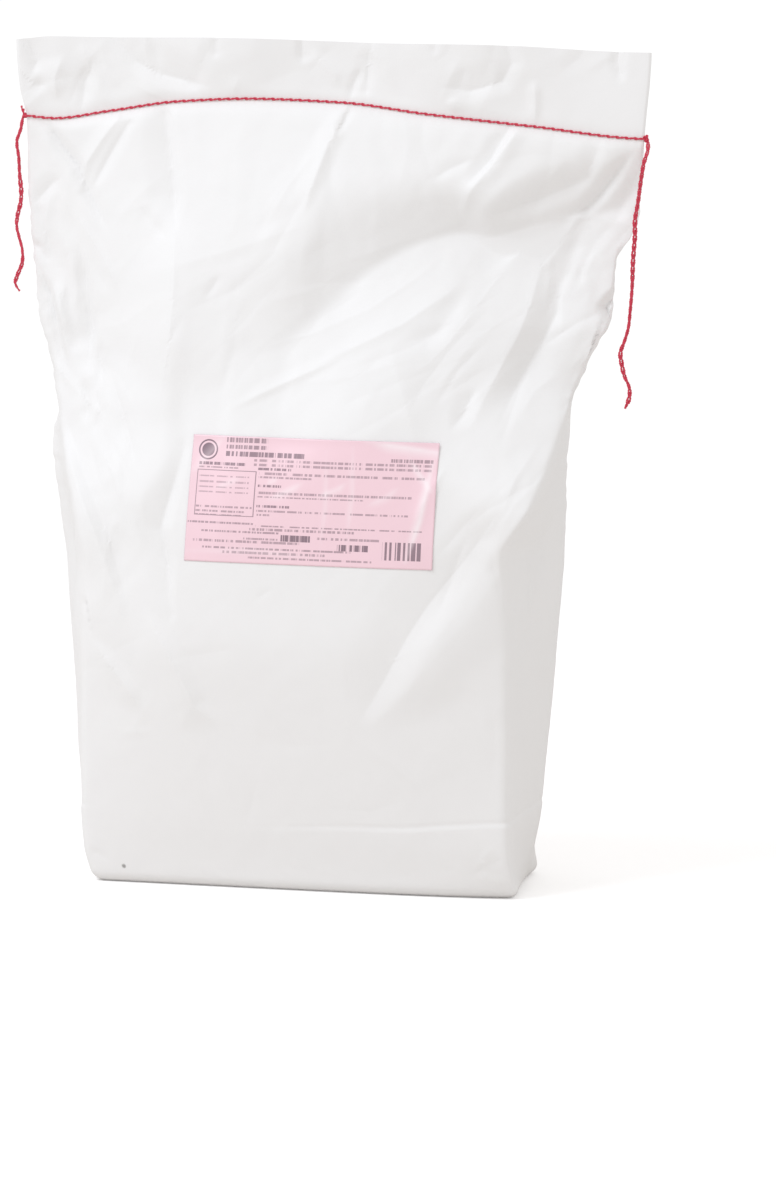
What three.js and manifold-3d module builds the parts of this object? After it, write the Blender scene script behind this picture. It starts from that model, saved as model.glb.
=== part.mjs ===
// A filled paper sack of dry mix, standing on its flat bottom: block-bottom sack with side gussets,
// mouth pressed flat and sewn shut, a stuck-on label, and the two loose ends of the chain stitch.
// Millimetres, +Z up, the front faces -Y, and the origin is the centre of the footprint.
import * as THREE from "three";
import { mergeVertices } from "three/addons/utils/BufferGeometryUtils.js";
import Module from "manifold-3d";

// Driving sizes of the sack.
const SACK_HEIGHT = 720; // floor to the top edge of the paper
const PANEL_WIDTH = 362; // front and back panels, from crease to crease at the foot
const SIDE_DEPTH = 172; // side panels, from crease to crease at the foot
const FLAT_WIDTH = 550; // the mouth pressed flat, from gusset edge to gusset edge
const SEAM_HEIGHT = 655; // middle of the sewn line
const MOUTH_HALF_THICKNESS = 2.2; // front and back plies pressed together
const BOTTOM_FOLD_HEIGHT = 60; // crease round the sack where its bottom was folded up
const FOOT_ROUNDING = 4; // the panels turn under the bottom over this height

const HALF_PANEL = PANEL_WIDTH / 2;
const HALF_DEPTH = SIDE_DEPTH / 2;
const HALF_FLAT = FLAT_WIDTH / 2;

// Driving sizes of the label, the seam and its loose ends.
const LABEL = {
  width: 210, height: 105, middleX: 8, middleZ: 330, // its middle on the front
  turn: 0.4, // degrees, clockwise from the front
  gap: 0.4, thickness: 0.6,
};
const SEAM_THREAD = {
  radius: 0.9, gap: 0.55, sides: 6, steps: 34,
  endRadius: 1.15, endReach: 6, endSteps: 9, // the loop round each gusset edge
};
const CHAIN_TAIL = { diameter: 4.5, sides: 8, stepInDiameters: 2.5 };

// How much the sack bulges or narrows at each height: [height, value] stations, read as smooth curves.
const FRONT_BELLY = [[0, 0], [60, 11], [150, 20], [250, 22], [330, 14], [420, -6], [500, -30], [580, -57],
  [635, -78], [655, -HALF_DEPTH + MOUTH_HALF_THICKNESS], [720, -HALF_DEPTH + MOUTH_HALF_THICKNESS]];
const BACK_BELLY = [[0, 0], [60, 10], [150, 18], [250, 19], [330, 11], [420, -8], [500, -32], [580, -58],
  [635, -78], [655, -HALF_DEPTH + MOUTH_HALF_THICKNESS], [720, -HALF_DEPTH + MOUTH_HALF_THICKNESS]];

// Each side's profile. `gusset` is how far the gusset crease stands out beyond half the foot's width,
// `crease` the same of the two panel creases, and `creaseDepth` how far those lie from the middle plane.
const MOUTH_SPREAD = HALF_FLAT - HALF_PANEL;
const RIGHT = {
  gusset: [[0, 3], [14, 8], [36, 13], [60, 17], [140, 24], [215, 29], [290, 33], [392, 33], [424, 38],
    [446, 46], [466, 55], [484, 65], [504, 66], [548, 70], [566, 81], [590, 87], [655, 90],
    [720, MOUTH_SPREAD]],
  crease: [[0, 9], [20, 4], [45, 0], [65, -1], [140, -3], [215, -5], [289, -11], [318, 7],
    [345, 19], [390, 31], [424, 35], [466, 52], [484, 62], [548, 67], [590, 83], [655, 87],
    [720, MOUTH_SPREAD - 3]],
  creaseDepth: [[0, 75], [20, 82], [45, HALF_DEPTH], [289, HALF_DEPTH], [318, 74], [345, 56], [390, 26], [430, 8],
    [500, 5], [655, 2], [720, 2]],
};
const LEFT = {
  gusset: [[0, -3], [14, 9], [36, 18], [62, 24], [106, 30], [140, 32], [215, 39], [290, 46], [345, 56],
    [384, 59], [398, 50], [412, 52], [443, 61], [487, 72], [530, 76], [586, 82], [655, 85], [680, 91],
    [720, MOUTH_SPREAD]],
  crease: [[0, -4], [30, 3], [65, 5], [140, 6], [215, 7], [270, 7], [318, 17], [345, 27], [398, 46],
    [443, 57], [487, 68], [530, 73], [586, 79], [655, 82], [680, 88], [720, MOUTH_SPREAD - 3]],
  creaseDepth: [[0, HALF_DEPTH], [225, HALF_DEPTH], [270, 78], [318, 58], [345, 42], [398, 10],
    [443, 6], [500, 5], [655, 2], [720, 2]],
};

// The sewn line and the paper's top edge wander: [x, height] stations across the front.
const SEAM_LINE = [[-272, 652], [-241, 650], [-192, 657], [-130, 666], [-62, 669], [10, 667], [85, 658],
  [176, 649], [272, 640]];
const TOP_EDGE = [[-278, 717], [-243, 720], [-129, 720], [-24, 719], [61, 717], [153, 716], [272, 712]];
const SEAM_FLAT_BAND = 9; // the plies stay pressed together this far below the seam
const SEAM_SLOPE_FROM = 480; // the sack's level lines start to follow the seam here

// Shape of the panels and their folds.
const BELLY_POWER = { low: 2.8, high: 1.9, from: 290, to: 430 }; // boxy low down, rounder near the mouth
const FOLD_END = 0.35; // share of a fold's height that is left at its two ends
const FOLDS_FADE = { floor: 40, middlePlane: 26, aboveSeam: 16, belowSeam: 40 }; // where folds die out
const SIDE_FOLDS = { from: 20, to: 340 }; // heights between which the sides have folds

// Folds of the front: a line of [x, z] points on the panel, half its width, and its height outwards.
const FRONT_FOLDS = [
  { line: [[176, 299], [149, 266], [121, 236], [97, 188], [60, 140]], width: 28, height: 8 },
  { line: [[135, 292], [108, 256], [88, 228], [68, 188]], width: 22, height: -6 },
  { line: [[-218, 390], [-191, 324], [-173, 290], [-143, 226], [-72, 148]], width: 24, height: 7 },
  { line: [[-150, 330], [-128, 270], [-108, 225]], width: 26, height: -4 },
  { line: [[-124, 565], [-117, 513], [-110, 471], [-112, 437], [-128, 400]], width: 34, height: -7 },
  { line: [[262, 606], [229, 582], [191, 560], [140, 541], [89, 515], [30, 472]], width: 60, height: -13 },
  { line: [[225, 566], [212, 537], [205, 503], [195, 461], [176, 423], [150, 385]], width: 30, height: -9 },
  { line: [[195, 549], [156, 515], [124, 485]], width: 24, height: 6 },
  { line: [[106, 509], [67, 475], [27, 453], [-14, 427]], width: 18, height: 3 },
  { line: [[137, 420], [129, 401], [117, 383]], width: 16, height: -3 },
  { line: [[10, 648], [0, 622], [-15, 575]], width: 18, height: 4 },
  { line: [[162, 646], [146, 620], [115, 564]], width: 16, height: -4 },
  { line: [[-258, 644], [-234, 631], [-210, 593], [-184, 550]], width: 20, height: 5 },
  { line: [[-184, 647], [-202, 623], [-210, 593]], width: 18, height: 4 },
  { line: [[-222, 556], [-211, 511], [-198, 462]], width: 20, height: 5 },
  { line: [[-243, 519], [-236, 485], [-226, 440]], width: 16, height: -4 },
  { line: [[-103, 378], [-117, 311], [-107, 250]], width: 16, height: 3 },
  { line: [[152, 290], [169, 252]], width: 16, height: -4 },
];

// Folds of the back, which takes the same two long pulls from the gussets to the middle.
const BACK_FOLDS = [
  { line: [[212, 398], [186, 318], [150, 250], [92, 170]], width: 26, height: 7 },
  { line: [[-214, 392], [-184, 306], [-138, 236], [-70, 160]], width: 28, height: 8 },
  { line: [[-252, 600], [-180, 556], [-100, 520], [-20, 470]], width: 56, height: -11 },
  { line: [[232, 590], [176, 520], [120, 440], [96, 380]], width: 36, height: -8 },
  { line: [[60, 640], [48, 580], [20, 520]], width: 22, height: 5 },
  { line: [[-150, 646], [-128, 596], [-88, 560]], width: 18, height: 4 },
  { line: [[-96, 360], [-60, 300], [-52, 240]], width: 26, height: -4 },
];

// Folds of the sides, on [y, z] points; left and right take one each.
const RIGHT_FOLDS = [
  { line: [[-62, 300], [-52, 262], [-60, 200]], width: 18, height: 3 },
  { line: [[30, 330], [46, 250], [30, 160]], width: 24, height: -4 },
];
const LEFT_FOLDS = [
  { line: [[-50, 330], [-64, 250], [-50, 170]], width: 20, height: 4 },
  { line: [[40, 300], [20, 220], [44, 140]], width: 26, height: -4 },
];

// Bends of the plain paper above the seam, which front and back plies make together.
const MOUTH_FOLDS = [
  { line: [[-187, 720], [-156, 705], [-130, 691], [-99, 679]], width: 22, height: -4 },
  { line: [[-214, 700], [-210, 680]], width: 18, height: -3 },
  { line: [[-24, 724], [-24, 700]], width: 14, height: 3 },
  { line: [[34, 712], [25, 688], [19, 669]], width: 16, height: -4 },
  { line: [[92, 683], [122, 680], [147, 687], [155, 716]], width: 18, height: -4 },
  { line: [[177, 690], [176, 664]], width: 14, height: 3 },
  { line: [[246, 716], [249, 689]], width: 14, height: -3 },
];
const MOUTH_FOLDS_FROM = { none: 4, full: 22 }; // above the seam
const MOUTH_WAVE = { reach: 5, length: 210, phase: 0.9, below: 20 }; // slow sway, from below the seam

// The loose ends of the seam's chain stitch: points along the middle of each, from the seam down.
const LEFT_TAIL_ROUTE = [[-268.8, -1, 650.3], [-269.8, -3, 640], [-272.8, -4, 629.8], [-271, -4, 616],
  [-269.7, -4.5, 600], [-268, -5, 586], [-268.5, -5, 576.5], [-271, -5, 566], [-271.7, -5, 556.6],
  [-269, -5.5, 546.3], [-266.2, -6, 536.8], [-266, -6, 524.7], [-269.4, -6, 516], [-272, -6, 507],
  [-268, -6, 500.5]];
const RIGHT_TAIL_ROUTE = [[273.7, -1, 638.1], [274, -4, 630], [271.5, -8, 620], [269.5, -9.5, 605],
  [267.5, -10, 586], [265.5, -10, 571.7], [265.8, -10, 559], [264.8, -10, 538], [264.6, -10, 513],
  [263.5, -10, 494], [262.6, -10, 482], [259.6, -10, 470], [256.4, -10, 460], [257.6, -10, 451],
  [260.3, -10, 440.5], [264.8, -10, 430.5], [264.7, -10, 421], [261.5, -10, 413]];

// Mesh of the sack: cells across a panel and a half gusset, and the heights of its rows.
const PANEL_CELLS = 32;
const GUSSET_CELLS = 4;
const CORNER = { radius: 7, mostOfEdge: 0.3 };
const ROW_GAP = 17;
const FOOT_ROWS = [14, 30, 46];
const SEAM_ROWS = [-SEAM_FLAT_BAND, -4, 4, 12, 26, 40, 53]; // above and below the seam

/** Value at `t` of a smooth curve through [t, value] stations that never overshoots them. */
function curveAt(stations, t) {
  const last = stations.length - 1;
  if (t <= stations[0][0]) return stations[0][1];
  if (t >= stations[last][0]) return stations[last][1];
  let i = 0;
  while (stations[i + 1][0] < t) i++;
  const rise = (k) => (stations[k + 1][1] - stations[k][1]) / (stations[k + 1][0] - stations[k][0]);
  const slope = (k) => {
    if (k === 0 || k === last) return 0;
    const before = rise(k - 1);
    const after = rise(k);
    return before * after > 0 ? (2 * before * after) / (before + after) : 0;
  };
  const gap = stations[i + 1][0] - stations[i][0];
  const u = (t - stations[i][0]) / gap;
  const bend = u * u * (3 - 2 * u);
  return stations[i][1] * (1 - bend) + stations[i + 1][1] * bend
    + gap * u * (1 - u) * (slope(i) * (1 - u) - slope(i + 1) * u);
}

/** 0 below `low`, 1 above `high`, smooth between. */
function ease(low, high, t) {
  return THREE.MathUtils.smoothstep(t, low, high);
}

/** Distance from (x, z) to a line of points, and how far along the line that is, from 0 to 1. */
function nearestOnLine(line, x, z) {
  const lengths = line.slice(1).map((p, i) => Math.hypot(p[0] - line[i][0], p[1] - line[i][1]));
  const total = lengths.reduce((sum, length) => sum + length, 0);
  let best = { distance: Infinity, along: 0 };
  let passed = 0;
  lengths.forEach((length, i) => {
    const [ax, az] = line[i];
    const [bx, bz] = line[i + 1];
    const share = THREE.MathUtils.clamp(((x - ax) * (bx - ax) + (z - az) * (bz - az)) / length ** 2, 0, 1);
    const distance = Math.hypot(x - ax - share * (bx - ax), z - az - share * (bz - az));
    if (distance < best.distance) best = { distance, along: (passed + share * length) / total };
    passed += length;
  });
  return best;
}

/** Height that a list of folds gives at (x, z): a crest along each line, falling off to both sides. */
function reliefAt(folds, x, z) {
  return folds.reduce((sum, fold) => {
    const { distance, along } = nearestOnLine(fold.line, x, z);
    if (distance >= fold.width) return sum;
    const ends = THREE.MathUtils.lerp(FOLD_END, 1, Math.sqrt(Math.sin(Math.PI * along)));
    return sum + fold.height * ends * (1 - ease(0, fold.width, distance));
  }, 0);
}

/** Sway of the two pressed plies above the seam, front (-) to back (+). */
function mouthSway(x, z) {
  const seam = curveAt(SEAM_LINE, x);
  const free = ease(seam - MOUTH_WAVE.below, SACK_HEIGHT, z);
  const wave = MOUTH_WAVE.reach * Math.sin((2 * Math.PI * x) / MOUTH_WAVE.length + MOUTH_WAVE.phase);
  const folded = reliefAt(MOUTH_FOLDS, x, z) * ease(MOUTH_FOLDS_FROM.none, MOUTH_FOLDS_FROM.full, z - seam);
  return wave * free - folded;
}

/** The six corners of the section at a height, from the front left round: panel creases, gusset edges. */
function sectionCorners(height) {
  const side = (profile, sign) => ({
    x: sign * (HALF_PANEL + curveAt(profile.crease, height)),
    y: curveAt(profile.creaseDepth, height),
    edge: sign * (HALF_PANEL + curveAt(profile.gusset, height)),
  });
  const left = side(LEFT, -1);
  const right = side(RIGHT, 1);
  return [
    new THREE.Vector2(left.x, -left.y),
    new THREE.Vector2(right.x, -right.y),
    new THREE.Vector2(right.edge, 0),
    new THREE.Vector2(right.x, right.y),
    new THREE.Vector2(left.x, left.y),
    new THREE.Vector2(left.edge, 0),
  ];
}

/** Point on one edge of the section, with the belly of the front and back panels. */
function edgePoint(corners, edge, t, height) {
  const point = corners[edge].clone().lerp(corners[(edge + 1) % 6], t);
  const { low, high, from, to } = BELLY_POWER;
  const crown = 1 - Math.abs(2 * t - 1) ** THREE.MathUtils.lerp(low, high, ease(from, to, height));
  const panel = { 0: { belly: FRONT_BELLY, sign: -1 }, 3: { belly: BACK_BELLY, sign: 1 } }[edge];
  if (panel) {
    const middle = panel.sign * (HALF_DEPTH + curveAt(panel.belly, height));
    point.y += (middle - point.y) * crown;
  }
  return point;
}

/** Point of the section, its corners rounded: `t` runs 0 to 1 along `edge`. */
function sectionPoint(height, edge, t) {
  const corners = sectionCorners(height);
  const cornerShare = (k) => {
    const length = corners[k].distanceTo(corners[(k + 1) % 6]);
    return Math.min(CORNER.mostOfEdge, CORNER.radius / length);
  };
  const share = cornerShare(edge);
  const bezier = (a, corner, b, u) => a.clone().multiplyScalar((1 - u) ** 2)
    .addScaledVector(corner, 2 * u * (1 - u)).addScaledVector(b, u * u);
  if (t < share) {
    const before = (edge + 5) % 6;
    const start = edgePoint(corners, before, 1 - cornerShare(before), height);
    return bezier(start, corners[edge], edgePoint(corners, edge, share, height), 0.5 + (0.5 * t) / share);
  }
  if (t > 1 - share) {
    const after = (edge + 1) % 6;
    const end = edgePoint(corners, after, cornerShare(after), height);
    const start = edgePoint(corners, edge, 1 - share, height);
    return bezier(start, corners[after], end, (0.5 * (t - 1 + share)) / share);
  }
  return edgePoint(corners, edge, t, height);
}

/** The columns of the sack's mesh: left gusset edge, across the front, right gusset edge, and back again. */
function sackColumns() {
  const across = (edge, cells) => Array.from({ length: cells }, (_, i) => ({ edge, t: i / cells }));
  const rounded = (edge, cells) => {
    const inner = [0, 0.02];
    for (let i = 1; i < cells; i++) inner.push(i / cells);
    return [...inner, 0.98].map((t) => ({ edge, t }));
  };
  return [...across(5, GUSSET_CELLS), ...rounded(0, PANEL_CELLS), ...across(1, GUSSET_CELLS),
    ...across(2, GUSSET_CELLS), ...rounded(3, PANEL_CELLS), ...across(4, GUSSET_CELLS)];
}

/** The heights of the rows, level below and following the seam and the top edge above. */
function sackRows() {
  const first = BOTTOM_FOLD_HEIGHT;
  const last = SEAM_HEIGHT - SEAM_FLAT_BAND - ROW_GAP / 2;
  const count = Math.round((last - first) / ROW_GAP);
  const between = Array.from({ length: count + 1 }, (_, i) => first + ((last - first) * i) / count);
  return [0, FOOT_ROUNDING, ...FOOT_ROWS, ...between, ...SEAM_ROWS.map((z) => SEAM_HEIGHT + z), SACK_HEIGHT];
}

/** Point of the sack's skin, with every fold. */
function skinPoint(height, edge, t) {
  const flat = sectionPoint(height, edge, t);
  const x = flat.x;
  const toSeam = curveAt(SEAM_LINE, x) - SEAM_HEIGHT;
  const toTop = curveAt(TOP_EDGE, x) - SACK_HEIGHT;
  const z = height + toSeam * ease(SEAM_SLOPE_FROM, SEAM_HEIGHT - SEAM_FLAT_BAND, height)
    + (toTop - toSeam) * THREE.MathUtils.clamp((height - SEAM_HEIGHT) / (SACK_HEIGHT - SEAM_HEIGHT), 0, 1);
  const foot = ease(0, FOLDS_FADE.floor, z);
  const thin = Math.abs(flat.y);
  const fade = foot * ease(0, FOLDS_FADE.middlePlane, thin)
    * ease(-FOLDS_FADE.aboveSeam, FOLDS_FADE.belowSeam, curveAt(SEAM_LINE, x) - z);
  const relief = reliefAt(flat.y < 0 ? FRONT_FOLDS : BACK_FOLDS, x, z) * fade;
  const facesSide = edge % 3 !== 0 && z > SIDE_FOLDS.from && z < SIDE_FOLDS.to;
  const sideRelief = facesSide ? reliefAt(x > 0 ? RIGHT_FOLDS : LEFT_FOLDS, flat.y, z) * foot : 0;
  const turnUnder = 0.5 * FOOT_ROUNDING * (1 - ease(0, FOOT_ROUNDING, height));
  const across = 1 - turnUnder / HALF_PANEL;
  const deep = 1 - turnUnder / HALF_DEPTH;
  const depth = Math.max(thin * deep + relief, Math.min(thin, 0.8 * MOUTH_HALF_THICKNESS));
  const y = Math.sign(flat.y) * depth + mouthSway(x, z);
  return new THREE.Vector3(x * across + Math.sign(x) * sideRelief, y, z);
}

/**
 * A closed mesh from rings of points that pair front to back, capped flat at both ends. Each cell is split
 * the way the long pulls run, from low in the middle to high at the sides.
 */
function closedRings(rings) {
  const count = rings[0].length;
  const index = [];
  for (let row = 0; row + 1 < rings.length; row++) {
    for (let i = 0; i < count; i++) {
      const j = (i + 1) % count;
      const [a, b] = [row * count + i, row * count + j];
      const [c, d] = [b + count, a + count];
      const outwards = Math.abs(rings[row][i].x) < Math.abs(rings[row][j].x);
      index.push(...(outwards ? [a, b, c, a, c, d] : [a, b, d, b, c, d]));
    }
  }
  const cap = (start, up) => {
    for (let i = 0; i < count / 2; i++) {
      const [a, b] = [start + i, start + i + 1];
      const [c, d] = [start + ((count - i - 1) % count), start + ((count - i) % count)];
      const faces = [[a, b, c], [a, c, d]].filter((f) => new Set(f).size === 3);
      faces.forEach(([p, q, r]) => index.push(...(up ? [p, q, r] : [p, r, q])));
    }
  };
  cap(0, false);
  cap((rings.length - 1) * count, true);
  const positions = rings.flat().flatMap((p) => [p.x, p.y, p.z]);
  const geometry = new THREE.BufferGeometry();
  geometry.setAttribute("position", new THREE.Float32BufferAttribute(positions, 3));
  geometry.setIndex(index);
  return geometry;
}

/** The paper sack, one closed solid from its flat bottom to the top edge. */
function sackGeometry() {
  const columns = sackColumns();
  return closedRings(sackRows().map((height) => columns.map(({ edge, t }) => skinPoint(height, edge, t))));
}

const wasm = await Module();
wasm.setup();

/** A geometry as a solid that can be joined and cut. */
function solidOf(geometry) {
  const bare = geometry.clone();
  bare.deleteAttribute("normal");
  bare.deleteAttribute("uv");
  const merged = mergeVertices(bare, 1e-4);
  return new wasm.Manifold(new wasm.Mesh({
    numProp: 3,
    vertProperties: new Float32Array(merged.attributes.position.array),
    triVerts: new Uint32Array(merged.index.array),
  }));
}

/** A solid back as a geometry. */
function geometryOf(solid) {
  const mesh = solid.getMesh();
  const geometry = new THREE.BufferGeometry();
  geometry.setAttribute("position", new THREE.Float32BufferAttribute(mesh.vertProperties, 3));
  geometry.setIndex(new THREE.Uint32BufferAttribute(mesh.triVerts, 1));
  return geometry;
}

/** The label: the sack's own front moved forward, cut to the label's rectangle, and freed from the sack. */
function labelGeometry(sack) {
  const cutter = new THREE.BoxGeometry(LABEL.width, SIDE_DEPTH, LABEL.height);
  cutter.rotateY(THREE.MathUtils.degToRad(LABEL.turn));
  cutter.translate(LABEL.middleX, -HALF_DEPTH, LABEL.middleZ);
  const inner = sack.translate([0, -LABEL.gap, 0]);
  const outer = sack.translate([0, -LABEL.gap - LABEL.thickness, 0]);
  return geometryOf(outer.intersect(solidOf(cutter)).subtract(inner));
}

/** A round tube along points. */
function tubeGeometry(points, radius, sides, steps) {
  const path = new THREE.CatmullRomCurve3(points.map((p) => new THREE.Vector3(...p)), false, "centripetal");
  const section = new THREE.Shape().absarc(0, 0, radius, 0, 2 * Math.PI, false);
  const tube = new THREE.ExtrudeGeometry(section, { steps, curveSegments: sides / 2, extrudePath: path });
  return mergeVertices(tube.deleteAttribute("normal").deleteAttribute("uv"), 1e-3);
}

/** The thread of the seam: a front run and a back run, joined by a loop round each gusset edge. */
function seamThreadGeometry() {
  const { radius, gap, sides, steps, endRadius, endReach, endSteps } = SEAM_THREAD;
  const off = MOUTH_HALF_THICKNESS + gap + radius;
  const edges = [[LEFT, -1], [RIGHT, 1]]
    .map(([profile, sign]) => sign * (HALF_PANEL + curveAt(profile.gusset, SEAM_HEIGHT)));
  const at = (x, y) => [x, y + mouthSway(x, curveAt(SEAM_LINE, x)), curveAt(SEAM_LINE, x)];
  const run = (sign) => {
    const along = Array.from({ length: steps + 1 }, (_, i) => i / steps)
      .map((share) => THREE.MathUtils.lerp(edges[0] + endReach / 2, edges[1] - endReach / 2, share));
    return solidOf(tubeGeometry(along.map((x) => at(x, sign * off)), radius, sides, steps));
  };
  const loop = (edge, way) => {
    const inside = edge - way * endReach;
    const beyond = edge + way * (gap + endRadius);
    const points = [at(inside, -off), at(edge, -off), at(beyond, -off / 3),
      at(beyond, off / 3), at(edge, off), at(inside, off)];
    return solidOf(tubeGeometry(points, endRadius, sides, endSteps));
  };
  return geometryOf(run(-1).add(run(1)).add(loop(edges[0], -1)).add(loop(edges[1], 1)));
}

/** A loose end of the chain stitch, as the plain tube that its loops fill. */
function tailGeometry(route) {
  const { diameter, sides, stepInDiameters } = CHAIN_TAIL;
  const length = new THREE.CatmullRomCurve3(route.map((p) => new THREE.Vector3(...p))).getLength();
  const steps = Math.round(length / (diameter * stepInDiameters));
  return tubeGeometry(route, diameter / 2, sides, steps);
}

const PAPER = new THREE.MeshStandardMaterial({ color: 0xf1f0ed, roughness: 0.78, metalness: 0 });
const STICKER = new THREE.MeshStandardMaterial({ color: 0xeccdd6, roughness: 0.4, metalness: 0 });
const THREAD = new THREE.MeshStandardMaterial({ color: 0xc02040, roughness: 0.7, metalness: 0 });

/** A named mesh of the model. */
function piece(name, geometry, material) {
  const mesh = new THREE.Mesh(geometry, material);
  mesh.name = name;
  return mesh;
}

const sack = sackGeometry();
const model = new THREE.Group();
model.add(
  piece("sack", sack, PAPER),
  piece("label", labelGeometry(solidOf(sack)), STICKER),
  piece("seam_thread", seamThreadGeometry(), THREAD),
  piece("thread_tail_left", tailGeometry(LEFT_TAIL_ROUTE), THREAD),
  piece("thread_tail_right", tailGeometry(RIGHT_TAIL_ROUTE), THREAD),
);

export default model;
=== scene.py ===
"""The look of a filled white paper sack of dry baking mix, sewn shut with red thread.

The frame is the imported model's: metres, +Z up, the front faces -Y, the sack stands on z = 0. The tables
of profiles and folds hold millimetres, which MM turns into metres where a mesh is made.
"""

import logging
import math
import random
from dataclasses import dataclass, field
from enum import Enum
from functools import partial, reduce
from typing import Any, Callable, Iterable, Sequence

import bmesh
import bpy
import numpy as np
from mathutils import Matrix, Vector
from mathutils.bvhtree import BVHTree


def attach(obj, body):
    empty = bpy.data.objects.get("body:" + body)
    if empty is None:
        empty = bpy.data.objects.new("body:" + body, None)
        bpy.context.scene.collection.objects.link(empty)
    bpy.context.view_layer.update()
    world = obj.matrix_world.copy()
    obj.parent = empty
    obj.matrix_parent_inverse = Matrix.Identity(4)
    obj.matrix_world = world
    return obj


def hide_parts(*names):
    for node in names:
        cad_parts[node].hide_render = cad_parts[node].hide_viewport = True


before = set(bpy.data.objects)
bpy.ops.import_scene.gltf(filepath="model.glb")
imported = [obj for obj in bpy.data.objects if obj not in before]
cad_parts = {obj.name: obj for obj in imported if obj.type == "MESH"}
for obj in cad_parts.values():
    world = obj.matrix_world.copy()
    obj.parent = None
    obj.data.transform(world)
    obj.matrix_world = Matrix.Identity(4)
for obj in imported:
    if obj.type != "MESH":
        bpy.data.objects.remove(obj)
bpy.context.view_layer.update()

LOG = logging.getLogger("sack")
MM = 0.001

# Driving sizes of the sack, in millimetres.
SACK_HEIGHT = 720.0
PANEL_WIDTH = 362.0
SIDE_DEPTH = 172.0
FLAT_WIDTH = 550.0
SEAM_HEIGHT = 655.0
MOUTH_HALF_THICKNESS = 2.2
HALF_PANEL = PANEL_WIDTH / 2
HALF_DEPTH = SIDE_DEPTH / 2
HALF_FLAT = FLAT_WIDTH / 2
MOUTH_SPREAD = HALF_FLAT - HALF_PANEL
MOUTH_BELLY = MOUTH_HALF_THICKNESS - HALF_DEPTH
LABEL_SIZE = (210.0, 105.0)

# Metres before or behind the middle plane, well clear of the sack, where a look at its surface starts.
CLEAR = 0.4
CREASE_ATTRIBUTE = "crease"
# The label's painted highlight: how much of the paler glare colour is painted in at each point.
PAINTED_GLARE_ATTRIBUTE = "painted_glare"
# A fold as high as this, in millimetres, has the sharpest crest.
FULL_CREST = 2.0

Stations = Sequence[tuple[float, float]]
Array = np.ndarray


class Slot(Enum):
    """Names for the sack's three finishes; the script does not use them."""

    PAPER = "paper"
    STICKER = "sticker"
    THREAD = "thread"


class Node(Enum):
    """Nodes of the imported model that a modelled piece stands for."""

    SACK = "sack"
    LABEL = "label"
    SEAM = "seam_thread"
    TAIL_LEFT = "thread_tail_left"
    TAIL_RIGHT = "thread_tail_right"


# ---------------------------------------------------------------------------------------------
# Small helpers: colours, shader nodes, objects and finished pieces
# ---------------------------------------------------------------------------------------------


def linear(hex_colour: str) -> tuple[float, float, float, float]:
    """Turn an sRGB colour into the linear one that shaders take.

    Args:
        hex_colour: six hex digits, with or without a leading #.

    Returns:
        Red, green, blue and an alpha of 1.
    """
    digits = hex_colour.lstrip("#")
    channels = [int(digits[i : i + 2], 16) / 255 for i in (0, 2, 4)]
    red, green, blue = (c / 12.92 if c <= 0.04045 else ((c + 0.055) / 1.055) ** 2.4 for c in channels)
    return red, green, blue, 1.0


def add_node(
    tree: bpy.types.NodeTree,
    kind: str,
    settings: dict[str, Any] | None = None,
    inputs: dict[str | int, Any] | None = None,
) -> bpy.types.Node:
    """Add a shader node, set it up and link it.

    Args:
        tree: the node tree that takes the node.
        kind: the node's type name, without the leading "ShaderNode".
        settings: attributes of the node.
        inputs: its sockets by name or number, each with an output socket to link or a plain value.

    Returns:
        The new node.
    """
    node = tree.nodes.new("ShaderNode" + kind)
    for name, value in (settings or {}).items():
        setattr(node, name, value)
    for name, value in (inputs or {}).items():
        if isinstance(value, bpy.types.NodeSocket):
            tree.links.new(value, node.inputs[name])
        else:
            node.inputs[name].default_value = value
    return node


def add_math(tree: bpy.types.NodeTree, kind: str, a: Any, b: Any = 0.0, c: Any = 0.0) -> bpy.types.NodeSocket:
    """Add a math node for an operation on up to three sockets or numbers, and give its result."""
    return add_node(tree, "Math", {"operation": kind}, {0: a, 1: b, 2: c}).outputs[0]


def add_mix(tree: bpy.types.NodeTree, share: Any, first: Any, second: Any) -> bpy.types.NodeSocket:
    """Add a blend from one colour to another by a share from 0 to 1, and give the colour."""
    return add_node(tree, "Mix", {"data_type": "RGBA"}, {0: share, 6: first, 7: second}).outputs[2]


def add_range(
    tree: bpy.types.NodeTree, value: Any, source: tuple[float, float], target: tuple[float, float]
) -> bpy.types.NodeSocket:
    """Add a node that carries a value from one range to another, level beyond both ends, and give it."""
    return add_node(tree, "MapRange", inputs={
        "Value": value, "From Min": source[0], "From Max": source[1], "To Min": target[0],
        "To Max": target[1]}).outputs[0]


def new_material(name: str) -> tuple[bpy.types.Material, bpy.types.NodeTree]:
    """Start a node material with nothing in its tree.

    Args:
        name: the material's name.

    Returns:
        The material and its empty tree.
    """
    material = bpy.data.materials.new(name)
    material.use_nodes = True
    material.node_tree.nodes.clear()
    return material, material.node_tree


def add_object(name: str, data: bpy.types.ID) -> bpy.types.Object:
    """Put an object with this mesh, curve, light or camera in the scene."""
    found = bpy.data.objects.new(name, data)
    bpy.context.scene.collection.objects.link(found)
    return found


def mesh_of(shape: bmesh.types.BMesh, name: str) -> bpy.types.Mesh:
    """Turn a finished bmesh into a mesh, and free it."""
    mesh = bpy.data.meshes.new(name)
    shape.to_mesh(mesh)
    shape.free()
    return mesh


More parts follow.
